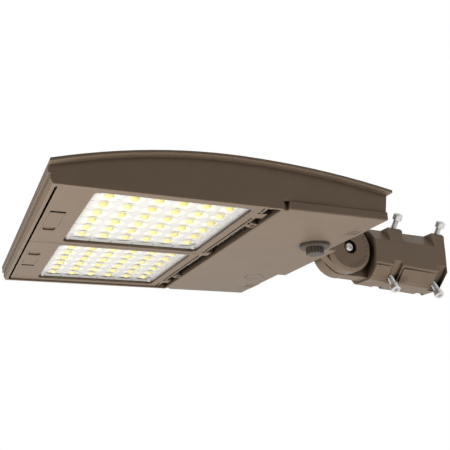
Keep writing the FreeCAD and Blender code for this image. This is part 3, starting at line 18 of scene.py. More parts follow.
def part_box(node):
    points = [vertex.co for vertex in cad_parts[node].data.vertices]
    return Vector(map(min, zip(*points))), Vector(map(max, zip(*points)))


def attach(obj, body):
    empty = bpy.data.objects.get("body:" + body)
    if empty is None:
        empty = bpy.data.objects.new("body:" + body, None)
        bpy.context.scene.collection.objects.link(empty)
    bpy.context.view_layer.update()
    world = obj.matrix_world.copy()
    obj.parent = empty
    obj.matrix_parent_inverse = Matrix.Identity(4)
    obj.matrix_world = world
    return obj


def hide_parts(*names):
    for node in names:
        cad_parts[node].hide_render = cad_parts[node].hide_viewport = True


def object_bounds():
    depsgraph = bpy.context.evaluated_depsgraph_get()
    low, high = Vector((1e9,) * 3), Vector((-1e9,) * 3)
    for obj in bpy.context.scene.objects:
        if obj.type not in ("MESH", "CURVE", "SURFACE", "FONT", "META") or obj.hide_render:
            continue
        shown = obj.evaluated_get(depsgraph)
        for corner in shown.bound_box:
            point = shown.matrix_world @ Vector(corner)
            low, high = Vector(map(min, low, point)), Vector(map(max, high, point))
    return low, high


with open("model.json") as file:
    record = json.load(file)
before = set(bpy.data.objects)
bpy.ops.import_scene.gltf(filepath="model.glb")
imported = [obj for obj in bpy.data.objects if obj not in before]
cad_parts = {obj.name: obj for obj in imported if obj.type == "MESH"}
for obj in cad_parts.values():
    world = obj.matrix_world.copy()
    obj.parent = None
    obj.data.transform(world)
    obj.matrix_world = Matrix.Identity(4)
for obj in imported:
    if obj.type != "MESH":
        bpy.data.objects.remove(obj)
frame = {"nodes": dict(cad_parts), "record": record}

CAD_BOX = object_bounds()
MM = 0.001
FULL_TURN = 2 * math.pi
UP = Vector((0, 0, 1))
WHITE = (1.0, 1.0, 1.0, 1.0)
HEXAGON = 6
SET_SCREWS = 6
EDGE_SAMPLES = 6
GAP_SAMPLES = 12
# Numbers of a Mix node's sockets for colours.
MIX_LOW, MIX_HIGH, MIX_RESULT = 6, 7, 2
log = logging.getLogger("flood_light")

Colour = tuple[float, float, float]


class Slot(Enum):
    """Material slots of the record."""

    BRONZE = "bronze_coat"
    SHEET = "bare_aluminium"
    BOARD = "board_white"
    PHOSPHOR = "led_yellow"
    OPTIC = "lens_clear"
    STAINLESS = "stainless"
    ZINC = "zinc_steel"
    SILICONE = "silicone"
    BLACK = "black_plastic"
    CASE = "driver_white"


class Side(Enum):
    """The two halves of the head, with the sign of their y."""

    LEFT = -1
    RIGHT = 1

    @property
    def word(self) -> str:
        """The side's name in node names."""
        return self.name.lower()


class Value:
    """A shader socket that builds Math nodes from Python expressions."""

    def __init__(self, nodes: "Nodes", socket: bpy.types.NodeSocket) -> None:
        """Wrap an output socket of a node."""
        self.nodes = nodes
        self.socket = socket

    def math(self, operation: str, *operands: "Value | float") -> "Value":
        """Add one Math node.

        Args:
            operation: the node's operation.
            operands: its inputs, in order.

        Returns:
            The node's result.
        """
        return self.nodes.node("ShaderNodeMath", {"operation": operation}, dict(enumerate(operands)))

    def __add__(self, other: "Value | float") -> "Value":
        """Sum."""
        return self.math("ADD", self, other)

    def __mul__(self, other: "Value | float") -> "Value":
        """Product."""
        return self.math("MULTIPLY", self, other)

    def __sub__(self, other: "Value | float") -> "Value":
        """Difference."""
        return self.math("SUBTRACT", self, other)

    def __rsub__(self, other: float) -> "Value":
        """Difference from a number."""
        return self.math("SUBTRACT", other, self)

    def __truediv__(self, other: "Value | float") -> "Value":
        """Quotient."""
        return self.math("DIVIDE", self, other)

    def __pow__(self, other: float) -> "Value":
        """Power."""
        return self.math("POWER", self, other)

    def __abs__(self) -> "Value":
        """Absolute value."""
        return self.math("ABSOLUTE", self)

    def __lt__(self, other: "Value | float") -> "Value":
        """One where the value is less than another."""
        return self.math("LESS_THAN", self, other)

    def __gt__(self, other: "Value | float") -> "Value":
        """One where the value is more than another."""
        return self.math("GREATER_THAN", self, other)

    def halfway(self, share: float) -> "Value":
        """One within a share of half way between two whole numbers."""
        return abs(self.math("FRACT", self) - 0.5) < share

    def nearest(self, most: float) -> "Value":
        """The nearest whole number from zero to a most."""
        whole = self.math("ROUND", self)
        return self.math("MAXIMUM", self.math("MINIMUM", whole, most), 0.0)

    def limit(self) -> "Value":
        """The value held between zero and one."""
        return self.nodes.node("ShaderNodeClamp", {}, {"Value": self})

    def ramp(self, start: float, end: float) -> "Value":
        """Zero up to a start, one past an end, and rising evenly between."""
        return ((self - start) / (end - start)).limit()

    def span(self, low: float, high: float) -> "Value":
        """A value from zero to one, taken onto another range."""
        return self * (high - low) + low


class Nodes:
    """A node tree whose nodes are added one at a time."""

    def __init__(self, tree: bpy.types.NodeTree) -> None:
        """Start from an empty tree."""
        self.tree = tree
        tree.nodes.clear()

    def node(self, kind: str, settings: dict[str, Any], sockets: dict[Any, Any],
             out: Any = 0) -> Value | None:
        """Add a node.

        Args:
            kind: the node's type.
            settings: its properties, set first.
            sockets: values or links of its inputs, by name or number.
            out: name or number of the output to return.

        Returns:
            The chosen output, or None for a node without outputs.
        """
        made = self.tree.nodes.new(kind)
        for key, setting in settings.items():
            setattr(made, key, setting)
        for key, given in sockets.items():
            if isinstance(given, Value):
                self.tree.links.new(given.socket, made.inputs[key])
            else:
                made.inputs[key].default_value = given
        return Value(self, made.outputs[out]) if made.outputs else None

    def ray(self, kind: str) -> Value:
        """One for rays of a kind."""
        return self.node("ShaderNodeLightPath", {}, {}, f"Is {kind} Ray")

    def seen(self, *kinds: str) -> Value:
        """Tell some kinds of ray from the others.

        Args:
            kinds: names of the kinds.

        Returns:
            One for a ray of any of the kinds.
        """
        total = self.ray(kinds[0])
        for kind in kinds[1:]:
            total = total + self.ray(kind)
        return total.limit()

    def axis(self, spot: Value, letter: str) -> Value:
        """One coordinate of a vector."""
        return self.node("ShaderNodeSeparateXYZ", {}, {0: spot}, letter)


@dataclass(frozen=True)
class GapShade:
    """Painted shade: how a finish's colour is darkened in a gap.

    A wall counts within reach. The shade is darkest where the open share of the view is deep, and there is
    none where it is wide. The darkest shade is least, as a factor of the colour.
    """

    reach: float
    deep: float
    wide: float
    least: float


class Shader(Nodes):
    """A material and the patterns that its finish is made from."""

    def __init__(self, name: str) -> None:
        """Start an empty material."""
        self.material = bpy.data.materials.new(name)
        self.material.use_nodes = True
        super().__init__(self.material.node_tree)

    def place(self, scale: Iterable[float] = (1.0, 1.0, 1.0)) -> Value:
        """Object coordinates, stretched."""
        spot = self.node("ShaderNodeTexCoord", {}, {}, "Object")
        return self.node("ShaderNodeMapping", {}, {"Vector": spot, "Scale": Vector(scale)})

    def noise(self, spot: Value, scale: float, detail: float = 2.0) -> Value:
        """Noise from zero to one, its scale in cycles per metre."""
        return self.node("ShaderNodeTexNoise", {}, {"Vector": spot, "Scale": scale, "Detail": detail}, "Fac")

    def blend(self, factor: Value, low: "Value | Colour", high: "Value | Colour") -> Value:
        """Mix two colours, each a socket or plain, by a factor."""
        ends = [end if isinstance(end, Value) else (*end, 1.0) for end in (low, high)]
        return self.node("ShaderNodeMix", {"data_type": "RGBA"},
                         {0: factor, MIX_LOW: ends[0], MIX_HIGH: ends[1]}, MIX_RESULT)

    def shaded(self, colour: Value, factor: Value) -> Value:
        """A colour made darker or lighter by a factor."""
        return self.node("ShaderNodeVectorMath", {"operation": "SCALE"}, {0: colour, "Scale": factor})

    def rounded(self, radius: float) -> Value:
        """Normal with sharp edges rounded."""
        return self.node("ShaderNodeBevel", {"samples": EDGE_SAMPLES}, {"Radius": radius})

    def edge(self, rounded: Value) -> Value:
        """How far a rounded normal leaves the true one.

        Args:
            rounded: the rounded normal.

        Returns:
            Zero on a flat face, more along an edge.
        """
        flat = self.node("ShaderNodeNewGeometry", {}, {}, "Normal")
        along = self.node("ShaderNodeVectorMath", {"operation": "DOT_PRODUCT"}, {0: rounded, 1: flat},
                          "Value")
        return (1.0 - along).limit()

    def gap(self, shade: GapShade) -> Value:
        """Painted shade, as a factor for a colour: one on an open face, less the deeper a gap is."""
        view = self.node("ShaderNodeAmbientOcclusion", {"samples": GAP_SAMPLES}, {"Distance": shade.reach},
                         "AO")
        return view.ramp(shade.deep, shade.wide).span(shade.least, 1.0)

    def bump(self, height: Value, depth: float, normal: Value) -> Value:
        """Normal of a bumpy surface.

        Args:
            height: pattern from zero to one.
            depth: height of the pattern in metres.
            normal: the normal to start from.

        Returns:
            The bumped normal.
        """
        return self.node("ShaderNodeBump", {}, {"Height": height, "Distance": depth, "Normal": normal})

    def surface(self, sockets: dict[str, Any]) -> Value:
        """Add the main shader with the given inputs."""
        return self.node("ShaderNodeBsdfPrincipled", {}, sockets)

    def finish(self, surface: Value) -> bpy.types.Material:
        """Link a shader to the output and return the material."""
        self.node("ShaderNodeOutputMaterial", {}, {"Surface": surface})
        return self.material


@dataclass(frozen=True)
class PowderCoat:
    """Dark bronze powder coat: fine orange peel, with painted highlights along its edges and painted shade
    in its gaps.
    """

    name: str = "bronze_powder_coat"
    deep: Colour = (0.204, 0.147, 0.101)
    light: Colour = (0.239, 0.174, 0.120)
    patch_scale: float = 45.0
    patch_detail: float = 3.0
    grain_scale: float = 1500.0
    grain_depth: float = 0.04 * MM
    roughness: float = 0.36
    spread: float = 0.10
    specular: float = 0.2
    soft_edge: float = 1.4 * MM
    # Strength of the painted highlight that lightens the colour along edges.
    painted_edge_highlight: float = 3.0
    # Painted shade that darkens the colour in gaps and recesses.
    gap: GapShade = GapShade(reach=34.0 * MM, deep=0.32, wide=0.72, least=0.03)

    def material(self) -> bpy.types.Material:
        """Build the material.

        Returns:
            The finished material.
        """
        shader = Shader(self.name)
        spot = shader.place()
        patch = shader.noise(spot, self.patch_scale, self.patch_detail)
        grain = shader.noise(spot, self.grain_scale)
        rounded = shader.rounded(self.soft_edge)
        # Painted highlight: the colour is made lighter along edges.
        edge_highlight_factor = shader.edge(rounded) * self.painted_edge_highlight + 1.0
        # Painted shade: ambient occlusion darkens the colour in gaps.
        shade = shader.gap(self.gap)
        return shader.finish(shader.surface({
            "Base Color": shader.shaded(shader.blend(patch, self.deep, self.light), edge_highlight_factor * shade),
            "Roughness": grain * self.spread + self.roughness,
            "Specular IOR Level": self.specular,
            "Normal": shader.bump(grain, self.grain_depth, rounded),
        }))


@dataclass(frozen=True)
class BareMetal:
    """Metal with fine drawn lines along one axis, its colour darkened in recesses as painted shade."""

    name: str
    deep: Colour
    light: Colour
    roughness: float
    spread: float
    stretch: tuple[float, float, float] = (1.0, 1.0, 12.0)
    line_scale: float = 700.0
    line_depth: float = 0.01 * MM
    soft_edge: float = 0.25 * MM
    # Painted shade that darkens the colour in recesses.
    gap: GapShade = GapShade(reach=4.0 * MM, deep=0.1, wide=0.8, least=0.8)

    def material(self) -> bpy.types.Material:
        """Build the material.

        Returns:
            The finished material.
        """
        shader = Shader(self.name)
        lines = shader.noise(shader.place(self.stretch), self.line_scale)
        return shader.finish(shader.surface({
            # Painted shade: ambient occlusion darkens the colour in recesses.
            "Base Color": shader.shaded(shader.blend(lines, self.deep, self.light), shader.gap(self.gap)),
            "Roughness": lines * self.spread + self.roughness,
            "Metallic": 1.0,
            "Normal": shader.bump(lines, self.line_depth, shader.rounded(self.soft_edge)),
        }))


@dataclass(frozen=True)
class Moulded:
    """Moulded plastic or rubber with a spark grain."""

    name: str
    deep: Colour
    light: Colour
    roughness: float
    spread: float = 0.12
    patch_scale: float = 60.0
    grain_scale: float = 1800.0
    grain_depth: float = 0.03 * MM
    soft_edge: float = 0.3 * MM

    def material(self) -> bpy.types.Material:
        """Build the material.

        Returns:
            The finished material.
        """
        shader = Shader(self.name)
        spot = shader.place()
        grain = shader.noise(spot, self.grain_scale)
        patch = shader.noise(spot, self.patch_scale)
        return shader.finish(shader.surface({
            "Base Color": shader.blend(patch, self.deep, self.light),
            "Roughness": grain * self.spread + self.roughness,
            "Normal": shader.bump(grain, self.grain_depth, shader.rounded(self.soft_edge)),
        }))


@dataclass(frozen=True)
class Grid:
    """The square grid of LEDs on each side, from the one next to the middle plane."""

    first: Vector
    pitch: float
    count: int

    @classmethod
    def read(cls, chip: float = 5.0 * MM, count: int = 6) -> "Grid":
        """Find the grid from the LED packages of the right side.

        Args:
            chip: side of a package.
            count: packages in a row.

        Returns:
            The grid, in x and in distance from the middle plane.
        """
        low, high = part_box(f"led_chips_{Side.RIGHT.word}")
        pitch = (high.x - low.x - chip) / (count - 1)
        return cls(low.xy + Vector((chip, chip)) / 2, pitch, count)

    def spots(self, side: Side, level: float) -> list[Vector]:
        """Middles of one side's LEDs at a level."""
        steps = range(self.count)
        return [Vector((self.first.x + i * self.pitch, side.value * (self.first.y + j * self.pitch), level))
                for i in steps for j in steps]


@dataclass(frozen=True)
class SolderMask:
    """White circuit board with faint tracks between the rows of LEDs."""

    grid: Grid
    name: str = "white_solder_mask"
    track: Colour = (0.82, 0.81, 0.77)
    mask: Colour = (0.92, 0.91, 0.87)
    track_share: float = 0.05
    grain_scale: float = 900.0
    roughness: float = 0.35
    spread: float = 0.1

    def material(self) -> bpy.types.Material:
        """Build the material.

        Returns:
            The finished material.
        """
        shader = Shader(self.name)
        spot = shader.place()
        row = (shader.axis(spot, "X") - self.grid.first.x) / self.grid.pitch
        grain = shader.noise(spot, self.grain_scale)
        return shader.finish(shader.surface({
            "Base Color": shader.blend(row.halfway(self.track_share), self.mask, self.track),
            "Roughness": grain * self.spread + self.roughness,
        }))


@dataclass(frozen=True)
class Phosphor:
    """Yellow phosphor over an LED, each a little warmer or cooler than the next."""

    name: str = "led_phosphor"
    deep: Colour = (0.96, 0.80, 0.27)
    light: Colour = (0.97, 0.93, 0.37)
    batch_scale: float = 32.0
    contrast: float = 3.0
    roughness: float = 0.35
    spread: float = 0.2

    def material(self) -> bpy.types.Material:
        """Build the material.

        Returns:
            The finished material.
        """
        shader = Shader(self.name)
        batch = shader.noise(shader.place(), self.batch_scale)
        paler = (batch * self.contrast - (self.contrast - 1.0) / 2).limit()
        return shader.finish(shader.surface({
            "Base Color": shader.blend(paler, self.deep, self.light),
            "Roughness": batch * self.spread + self.roughness,
        }))


@dataclass(frozen=True)
class ClearOptic:
    """Clear moulded domes over the LEDs, with a frosted flange between and around them.

    Only the face towards the door shows: what lies more than depth above the door's inner face is clear.
    """

    grid: Grid
    door: float
    depth: float = 1.0 * MM
    dome_radius: float = 10.7 * MM
    name: str = "clear_optic"
    clear: Colour = (0.85, 0.83, 0.78)
    frost: Colour = (0.68, 0.66, 0.63)
    cloud: Colour = (0.78, 0.76, 0.72)
    tick: Colour = (0.30, 0.30, 0.29)
    tick_share: float = 0.025
    border: float = 0.46
    dome_veil: float = 0.12
    # Painted reflection: how much whiter the domes turn at their rims.
    painted_rim_reflection: float = 0.8
    rim_power: float = 5.0
    flange_veil: float = 0.72
    flow_scale: float = 160.0
    flow_detail: float = 4.0
    dome_roughness: float = 0.06
    flange_roughness: float = 0.46

    def material(self) -> bpy.types.Material:
        """Build the material.

        Returns:
            The finished material.
        """
        shader = Shader(self.name)
        spot = shader.place()
        along = (shader.axis(spot, "X"), abs(shader.axis(spot, "Y")))
        steps = [(value - start) / self.grid.pitch for value, start in zip(along, self.grid.first)]
        last = self.grid.count - 1
        offs = [step - step.nearest(last) for step in steps]
        dome = (offs[0] * offs[0] + offs[1] * offs[1]) < (self.dome_radius / self.grid.pitch) ** 2
        outer = shader.axis(spot, "Z") < self.door + self.depth
        beside = [last / 2 + self.border < abs(step - last / 2) for step in steps]
        ticks = [step.halfway(self.tick_share) for step in steps]
        tick = (beside[0] * ticks[1] + beside[1] * ticks[0]).limit()
        flow = shader.noise(spot, self.flow_scale, self.flow_detail)
        # Painted reflection: the domes' white layer thickens towards their rims, where they face away; the
        # rest is the lens's haze and frost.
        rim = shader.node("ShaderNodeLayerWeight", {}, {}, "Facing") ** self.rim_power
        haze_and_rim_reflection = dome * (rim * self.painted_rim_reflection + self.dome_veil) + (1.0 - dome) * self.flange_veil
        flange = shader.blend(tick, shader.blend(flow, self.frost, self.cloud), self.tick)
        return shader.finish(shader.surface({
            "Base Color": shader.blend(dome, flange, self.clear),
            "Roughness": dome.span(self.flange_roughness, self.dome_roughness),
            "Alpha": haze_and_rim_reflection * outer * (1.0 - shader.ray("Shadow")),
        }))


class Mesh:
    """A mesh under construction, made with bmesh operators."""

    def __init__(self) -> None:
        """Start an empty mesh."""
        self.bm = bmesh.new()

    @staticmethod
    def only(items: Iterable[Any], kind: type) -> list[Any]:
        """The items of one kind, in their order."""
        return [item for item in items if isinstance(item, kind)]

    def whole(self) -> list[Any]:
        """Everything in the mesh."""
        return self.bm.verts[:] + self.bm.edges[:] + self.bm.faces[:]

    def rims(self) -> list[bmesh.types.BMEdge]:
        """The edges of every opening."""
        return [edge for edge in self.bm.edges if edge.is_boundary]

    def disc(self, radius: float, level: float, sides: int) -> None:
        """Flat round face at a level."""
        bmesh.ops.create_circle(self.bm, cap_ends=True, segments=sides, radius=radius,
                                matrix=Matrix.Translation((0, 0, level)))

    def cap(self, radius: float, height: float, segments: int = 16, rings: int = 10) -> None:
        """Dome that hangs below z = 0.

        Args:
            radius: radius of its base.
            height: depth of the dome.
            segments: sides round the dome.
            rings: rings of the sphere that it is cut from.
        """
        bmesh.ops.create_uvsphere(self.bm, u_segments=segments, v_segments=rings, radius=1.0)
        cut = bmesh.ops.bisect_plane(self.bm, geom=self.whole(), plane_co=Vector(), plane_no=UP,
                                     clear_outer=True)
        bmesh.ops.edgeloop_fill(self.bm, edges=self.only(cut["geom_cut"], bmesh.types.BMEdge))
        bmesh.ops.scale(self.bm, vec=Vector((radius, radius, height)), verts=self.bm.verts[:])

    def lathe(self, profile: Iterable[tuple[float, float]], steps: int) -> None:
        """Spin an open profile once about z.

        Args:
            profile: its points, each a radius and a height.
            steps: steps in the turn.
        """
        verts = [self.bm.verts.new((radius, 0.0, height)) for radius, height in profile]
        edges = [self.bm.edges.new(pair) for pair in zip(verts, verts[1:])]
        bmesh.ops.spin(self.bm, geom=verts + edges, cent=Vector(), axis=UP, angle=FULL_TURN,
                       steps=steps, use_merge=True)

    def thread(self, ridge: Iterable[tuple[float, float]], pitch: float, turns: int, steps: int) -> None:
        """Wind the closed section of a thread's ridge down along z.

        Args:
            ridge: (radius, height) corners of the section, which is less than a pitch high.
            pitch: fall in one turn.
            turns: how many turns it makes.
            steps: steps in a turn.
        """
        shank = set(self.bm.faces)
        section = self.bm.faces.new([self.bm.verts.new((radius, 0.0, height)) for radius, height in ridge])
        bmesh.ops.spin(self.bm, geom=[section], cent=Vector(), axis=UP, dvec=UP * (-pitch / steps),
                       angle=FULL_TURN * turns, steps=steps * turns)
        bmesh.ops.recalc_face_normals(self.bm, faces=[face for face in self.bm.faces if face not in shank])

    def bar(self, size: Vector, middle: Vector, edge: float) -> None:
        """Bar with bevelled edges.

        Args:
            size: its three sides.
            middle: where its middle is.
            edge: width of the bevel.
        """
        bmesh.ops.create_cube(self.bm, size=1.0)
        bmesh.ops.scale(self.bm, vec=size, verts=self.bm.verts[:])
        bmesh.ops.translate(self.bm, vec=middle, verts=self.bm.verts[:])
        bmesh.ops.bevel(self.bm, geom=self.bm.edges[:], offset=edge, segments=1, profile=0.5, affect="EDGES",
                        material=-1)

    def ring(self, centre: Vector, axis: Vector, sweep: float, steps: int) -> None:
        """Copy the whole mesh in equal steps through an angle about an axis."""
        bmesh.ops.spin(self.bm, geom=self.whole(), cent=centre, axis=axis, angle=sweep, steps=steps,
                       use_duplicate=True)

    def upper_rim(self) -> list[bmesh.types.BMEdge]:
        """Find the higher of the mesh's two open rims.

        Returns:
            Its edges.
        """
        rims = self.rims()
        middle = sum(edge.verts[0].co.z for edge in rims) / len(rims)
        return [edge for edge in rims if edge.verts[0].co.z > middle]

    def knurl(self, radius: float, depth: float, slack: float = 0.01 * MM, digits: int = 4) -> None:
        """Press every other upright of a round wall inwards.

        Args:
            radius: radius of the wall.
            depth: how far an upright is pressed.
            slack: how far off the radius a vertex still counts.
            digits: decimals to which the angles of an upright's two ends agree.
        """
        uprights: dict[float, list[bmesh.types.BMVert]] = {}
        for vert in self.bm.verts:
            if abs(vert.co.xy.length - radius) < slack:
                angle = round(math.atan2(vert.co.y, vert.co.x), digits)
                uprights.setdefault(angle, []).append(vert)
        pressed = [vert for angle in sorted(uprights)[::2] for vert in uprights[angle]]
        share = 1.0 - depth / radius
        bmesh.ops.scale(self.bm, vec=Vector((share, share, 1.0)), verts=pressed)

    def hex_socket(self, corner: float, depth: float) -> None:
        """Sink a hexagon socket inside the higher open rim.

        Args:
            corner: radius of the hexagon's corners.
            depth: depth of the socket.
        """
        rim = self.upper_rim()
        level = rim[0].verts[0].co.z
        ring = bmesh.ops.create_circle(self.bm, segments=HEXAGON, radius=corner,
                                       matrix=Matrix.Translation((0, 0, level)))["verts"]
        edges = list({edge for vert in ring for edge in vert.link_edges})
        bmesh.ops.bridge_loops(self.bm, edges=rim + edges)
        grown = bmesh.ops.extrude_edge_only(self.bm, edges=edges)["geom"]
        bmesh.ops.translate(self.bm, vec=UP * -depth, verts=self.only(grown, bmesh.types.BMVert))
        bottom = [edge for edge in self.only(grown, bmesh.types.BMEdge) if edge.is_boundary]
        bmesh.ops.edgeloop_fill(self.bm, edges=bottom)

    def close(self) -> None:
        """Fill the lower open rim and turn the faces outwards."""
        bmesh.ops.edgeloop_fill(self.bm, edges=self.rims())
        bmesh.ops.recalc_face_normals(self.bm, faces=self.bm.faces[:])

    def spread(self, spots: Iterable[Vector]) -> None:
        """Copy the whole mesh to each of several spots, in place of the first.

        Args:
            spots: where the copies' origins go.
        """
        first = self.whole()
        for spot in spots:
            copy = bmesh.ops.duplicate(self.bm, geom=first)["geom"]
            bmesh.ops.translate(self.bm, vec=spot, verts=self.only(copy, bmesh.types.BMVert))
        bmesh.ops.delete(self.bm, geom=self.only(first, bmesh.types.BMVert), context="VERTS")

    def move(self, matrix: Matrix) -> None:
        """Move the whole mesh."""
        bmesh.ops.transform(self.bm, matrix=matrix, verts=self.bm.verts[:])

    def object(self, name: str) -> bpy.types.Object:
        """Make the mesh an object of the scene.

        Args:
            name: the object's name.

        Returns:
            The new object, at the origin.
        """
        data = bpy.data.meshes.new(name)
        self.bm.to_mesh(data)
        self.bm.free()
        made = bpy.data.objects.new(name, data)
        bpy.context.scene.collection.objects.link(made)
        return made

    def piece(self, name: str, body: str, sharp: float = 35.0) -> bpy.types.Object:
        """Make the mesh a piece that rides on a body.

        Args:
            name: the piece's name.
            body: the body it rides on.
            sharp: angle in degrees past which an edge stays sharp.

        Returns:
            The new object.
        """
        for face in self.bm.faces:
            face.smooth = True
        made = self.object(name)
        made.data.set_sharp_from_angle(angle=math.radians(sharp))
        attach(made, body)
        log.info("%s: %d faces on %s", name, len(made.data.polygons), body)
        return made


class Palette:
    """The finishes, one material each, and their way onto the pieces."""

    def __init__(self, finishes: dict[Slot, Any]) -> None:
        """Build every finish once."""
        self.materials = {slot: finish.material() for slot, finish in finishes.items()}

    def dress(self, piece: bpy.types.Object, slot: Slot) -> None:
        """Give a piece the finish of a slot.

        Args:
            piece: a node of the frame, or a new piece.
            slot: the slot.
        """
        material = self.materials[slot]
        piece.data.materials.clear()
        piece.data.materials.append(material)
        log.info("%s: %s", piece.name, material.name)

    def dress_new(self, piece: bpy.types.Object, slot: Slot) -> None:
        """Give a new piece the finish of a slot."""
        self.dress(piece, slot)

    def dress_frame(self) -> None:
        """Give every node of the frame the finish of its slot in the record."""
        for row in frame["record"]["subparts"]:
            self.dress(frame["nodes"][row["node"]], Slot(row["material_slot"]))


@dataclass
class Emitters:
    """One side's phosphor domes, which reach from the board into the lens domes."""

    side: Side
    grid: Grid
    radius: float = 5.0 * MM
    base: float = 2.2 * MM
    height: float = 3.6 * MM

    def build(self, palette: Palette) -> None:
        """Make the domes.

        Args:
            palette: the finishes.
        """
        board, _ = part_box(f"led_board_{self.side.word}")
        domes = Mesh()
        domes.cap(self.radius, self.height)
        domes.spread(self.grid.spots(self.side, board.z - self.base))
        palette.dress_new(domes.piece(f"phosphor_{self.side.word}", "head"), Slot.PHOSPHOR)


@dataclass
class SetScrew:
    """Knurled socket screw with a rolled thread, in place of its plain solid."""

    number: int
    head_radius: float = 6.3 * MM
    head: float = 8.0 * MM
    edge: float = 0.8 * MM
    knurl: float = 0.14 * MM
    key: float = 6.0 * MM
    key_depth: float = 4.0 * MM
    crest: float = 3.98 * MM
    root: float = 3.35 * MM
    sink: float = 0.15 * MM
    pitch: float = 1.25 * MM
    # Heights of the ridge's foot, crest, crest and foot, as shares of the pitch.
    ridge: tuple[float, ...] = (0.05, 0.40, 0.52, 0.87)
    sides: int = 60
    thread_steps: int = 18

    @property
    def node(self) -> str:
        """Name of the screw's node, which is its body's name too."""
        return f"set_screw_{self.number}"

    def place(self) -> tuple[Matrix, float]:
        """Find the screw from its solid.

        Returns:
            The matrix from the screw's own frame, with its head's top at z = 0 and its tip below, and the
            screw's length.
        """
        rows = frame["record"]["behaviour"]["joints"]
        drive = next(row for row in rows if row["child"] == self.node)
        turn = Vector(drive["axis"]).to_track_quat("-Z", "Y").to_matrix()
        spots = [turn.transposed() @ vert.co for vert in frame["nodes"][self.node].data.vertices]
        low, high = (Vector(pick(spot[i] for spot in spots) for i in range(3)) for pick in (min, max))
        top = Vector(((low.x + high.x) / 2, (low.y + high.y) / 2, high.z))
        return Matrix.Translation(turn @ top) @ turn.to_4x4(), high.z - low.z

    def build(self, palette: Palette) -> None:
        """Make the screw.

        Args:
            palette: the finishes.
        """
        matrix, length = self.place()
        corner = self.key / math.sqrt(3)
        rim = self.head_radius - self.edge
        screw = Mesh()
        screw.lathe([
            (corner + self.edge / 2, 0.0), (rim, 0.0), (self.head_radius, -self.edge),
            (self.head_radius, self.edge / 2 - self.head), (self.head_radius - self.edge / 2, -self.head),
            (self.root, -self.head), (self.root, self.edge - length), (self.root - self.edge, -length),
        ], self.sides)
        screw.knurl(self.head_radius, self.knurl)
        screw.hex_socket(corner, self.key_depth)
        screw.close()
        foot = self.root - self.sink
        top = -self.head - self.edge / 2
        heights = [top - share * self.pitch for share in self.ridge]
        turns = int((length - self.head - self.edge) / self.pitch) - 1
        corners = zip((foot, self.crest, self.crest, foot), heights)
        screw.thread(corners, self.pitch, turns, self.thread_steps)
        screw.move(matrix)
        piece = screw.piece(f"{self.node}_threaded", self.node)
        palette.dress_new(piece, Slot.STAINLESS)
        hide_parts(self.node)


@dataclass
class AngleMarks:
    """Raised lines round the knuckle's outer half disc, by which the tilt is set."""

    inner: float = 23.6 * MM
    outer: float = 28.2 * MM
    width: float = 1.3 * MM
    rise: float = 0.8 * MM
    sunk: float = 0.3 * MM
    edge: float = 0.2 * MM
    first: float = -90.0
    step: float = 15.0
    count: int = 13

    def build(self, palette: Palette) -> None:
        """Make the lines.

        Args:
            palette: the finishes.
        """
        arm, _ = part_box("knuckle_arm")
        low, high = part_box("knuckle_bolt")
        centre = Vector(((low.x + high.x) / 2, arm.y, (low.z + high.z) / 2))
        marks = Mesh()
        marks.bar(Vector((self.outer - self.inner, self.rise + self.sunk, self.width)),
                  centre + Vector(((self.inner + self.outer) / 2, (self.sunk - self.rise) / 2, 0.0)),
                  self.edge)
        marks.move(Matrix.Translation(centre) @ Matrix.Rotation(math.radians(-self.first), 4, "Y")
                   @ Matrix.Translation(-centre))
        sweep = math.radians(self.step * (self.count - 1))
        marks.ring(centre, Vector((0, -1, 0)), sweep, self.count - 1)
        palette.dress_new(marks.piece("angle_marks", "head"), Slot.BRONZE)


@dataclass
class Floor:
    """Round pale floor, which looks white and still takes a soft shadow."""

    level: float = -1.3
    radius: float = 26.0
    sides: int = 128
    deep: Colour = (0.86, 0.86, 0.86)
    light: Colour = (0.90, 0.90, 0.90)
    grain_scale: float = 40.0
    roughness: float = 0.8
    glow: float = 0.75

    def material(self) -> bpy.types.Material:
        """Build the floor's finish: matt, and partly glowing where the camera or a mirror sees it.

        Returns:
            The finished material.
        """
        shader = Shader("pale_floor")
        grain = shader.noise(shader.place(), self.grain_scale)
        matt = shader.surface({
            "Base Color": shader.blend(grain, self.deep, self.light),
            "Roughness": self.roughness,
        })
        white = shader.node("ShaderNodeEmission", {}, {"Color": WHITE})
        share = shader.seen("Camera", "Glossy", "Transmission") * self.glow
        return shader.finish(shader.node("ShaderNodeMixShader", {}, {0: share, 1: matt, 2: white}))

    def build(self) -> None:
        """Lay the floor."""
        ground = Mesh()
        ground.disc(self.radius, self.level, self.sides)
        made = ground.object("floor")
        made.data.materials.append(self.material())


@dataclass
class Surroundings:
    """White all round for the camera, a softer fill light, and a dark end in front of the nose."""

    ambient: float = 0.19
    mirrored: float = 0.8
    dark_to: float = -0.45
    lit_from: float = 0.30
    dark_least: float = 0.25

    def build(self) -> None:
        """Set up the world."""
        world = bpy.data.worlds.new("surroundings")
        bpy.context.scene.world = world
        world.use_nodes = True
        nodes = Nodes(world.node_tree)
        away = nodes.axis(nodes.node("ShaderNodeTexCoord", {}, {}, "Generated"), "X")
        lit = away.ramp(self.dark_to, self.lit_from).span(self.dark_least, 1.0)
        white = nodes.seen("Camera", "Transmission")
        soft = lit * nodes.ray("Glossy").span(self.ambient, self.mirrored)
        strength = white + (1.0 - white) * soft
        back = nodes.node("ShaderNodeBackground", {}, {"Color": WHITE, "Strength": strength})
        nodes.node("ShaderNodeOutputWorld", {}, {"Surface": back})


@dataclass(frozen=True)
class Lamp:
    """Soft square lamp, which neither the camera nor a mirror sees."""

    name: str
    place: Vector
    aim: Vector
    side: float
    watts: float

    def build(self) -> None:
        """Hang the lamp."""
        data = bpy.data.lights.new(self.name, "AREA")
        data.shape = "SQUARE"
        data.size = self.side
        data.energy = self.watts
        made = bpy.data.objects.new(self.name, data)
        made.location = self.place
        made.rotation_euler = (self.aim - self.place).to_track_quat("-Z", "Y").to_euler()
        made.visible_camera = False
        made.visible_glossy = False
        bpy.context.scene.collection.objects.link(made)


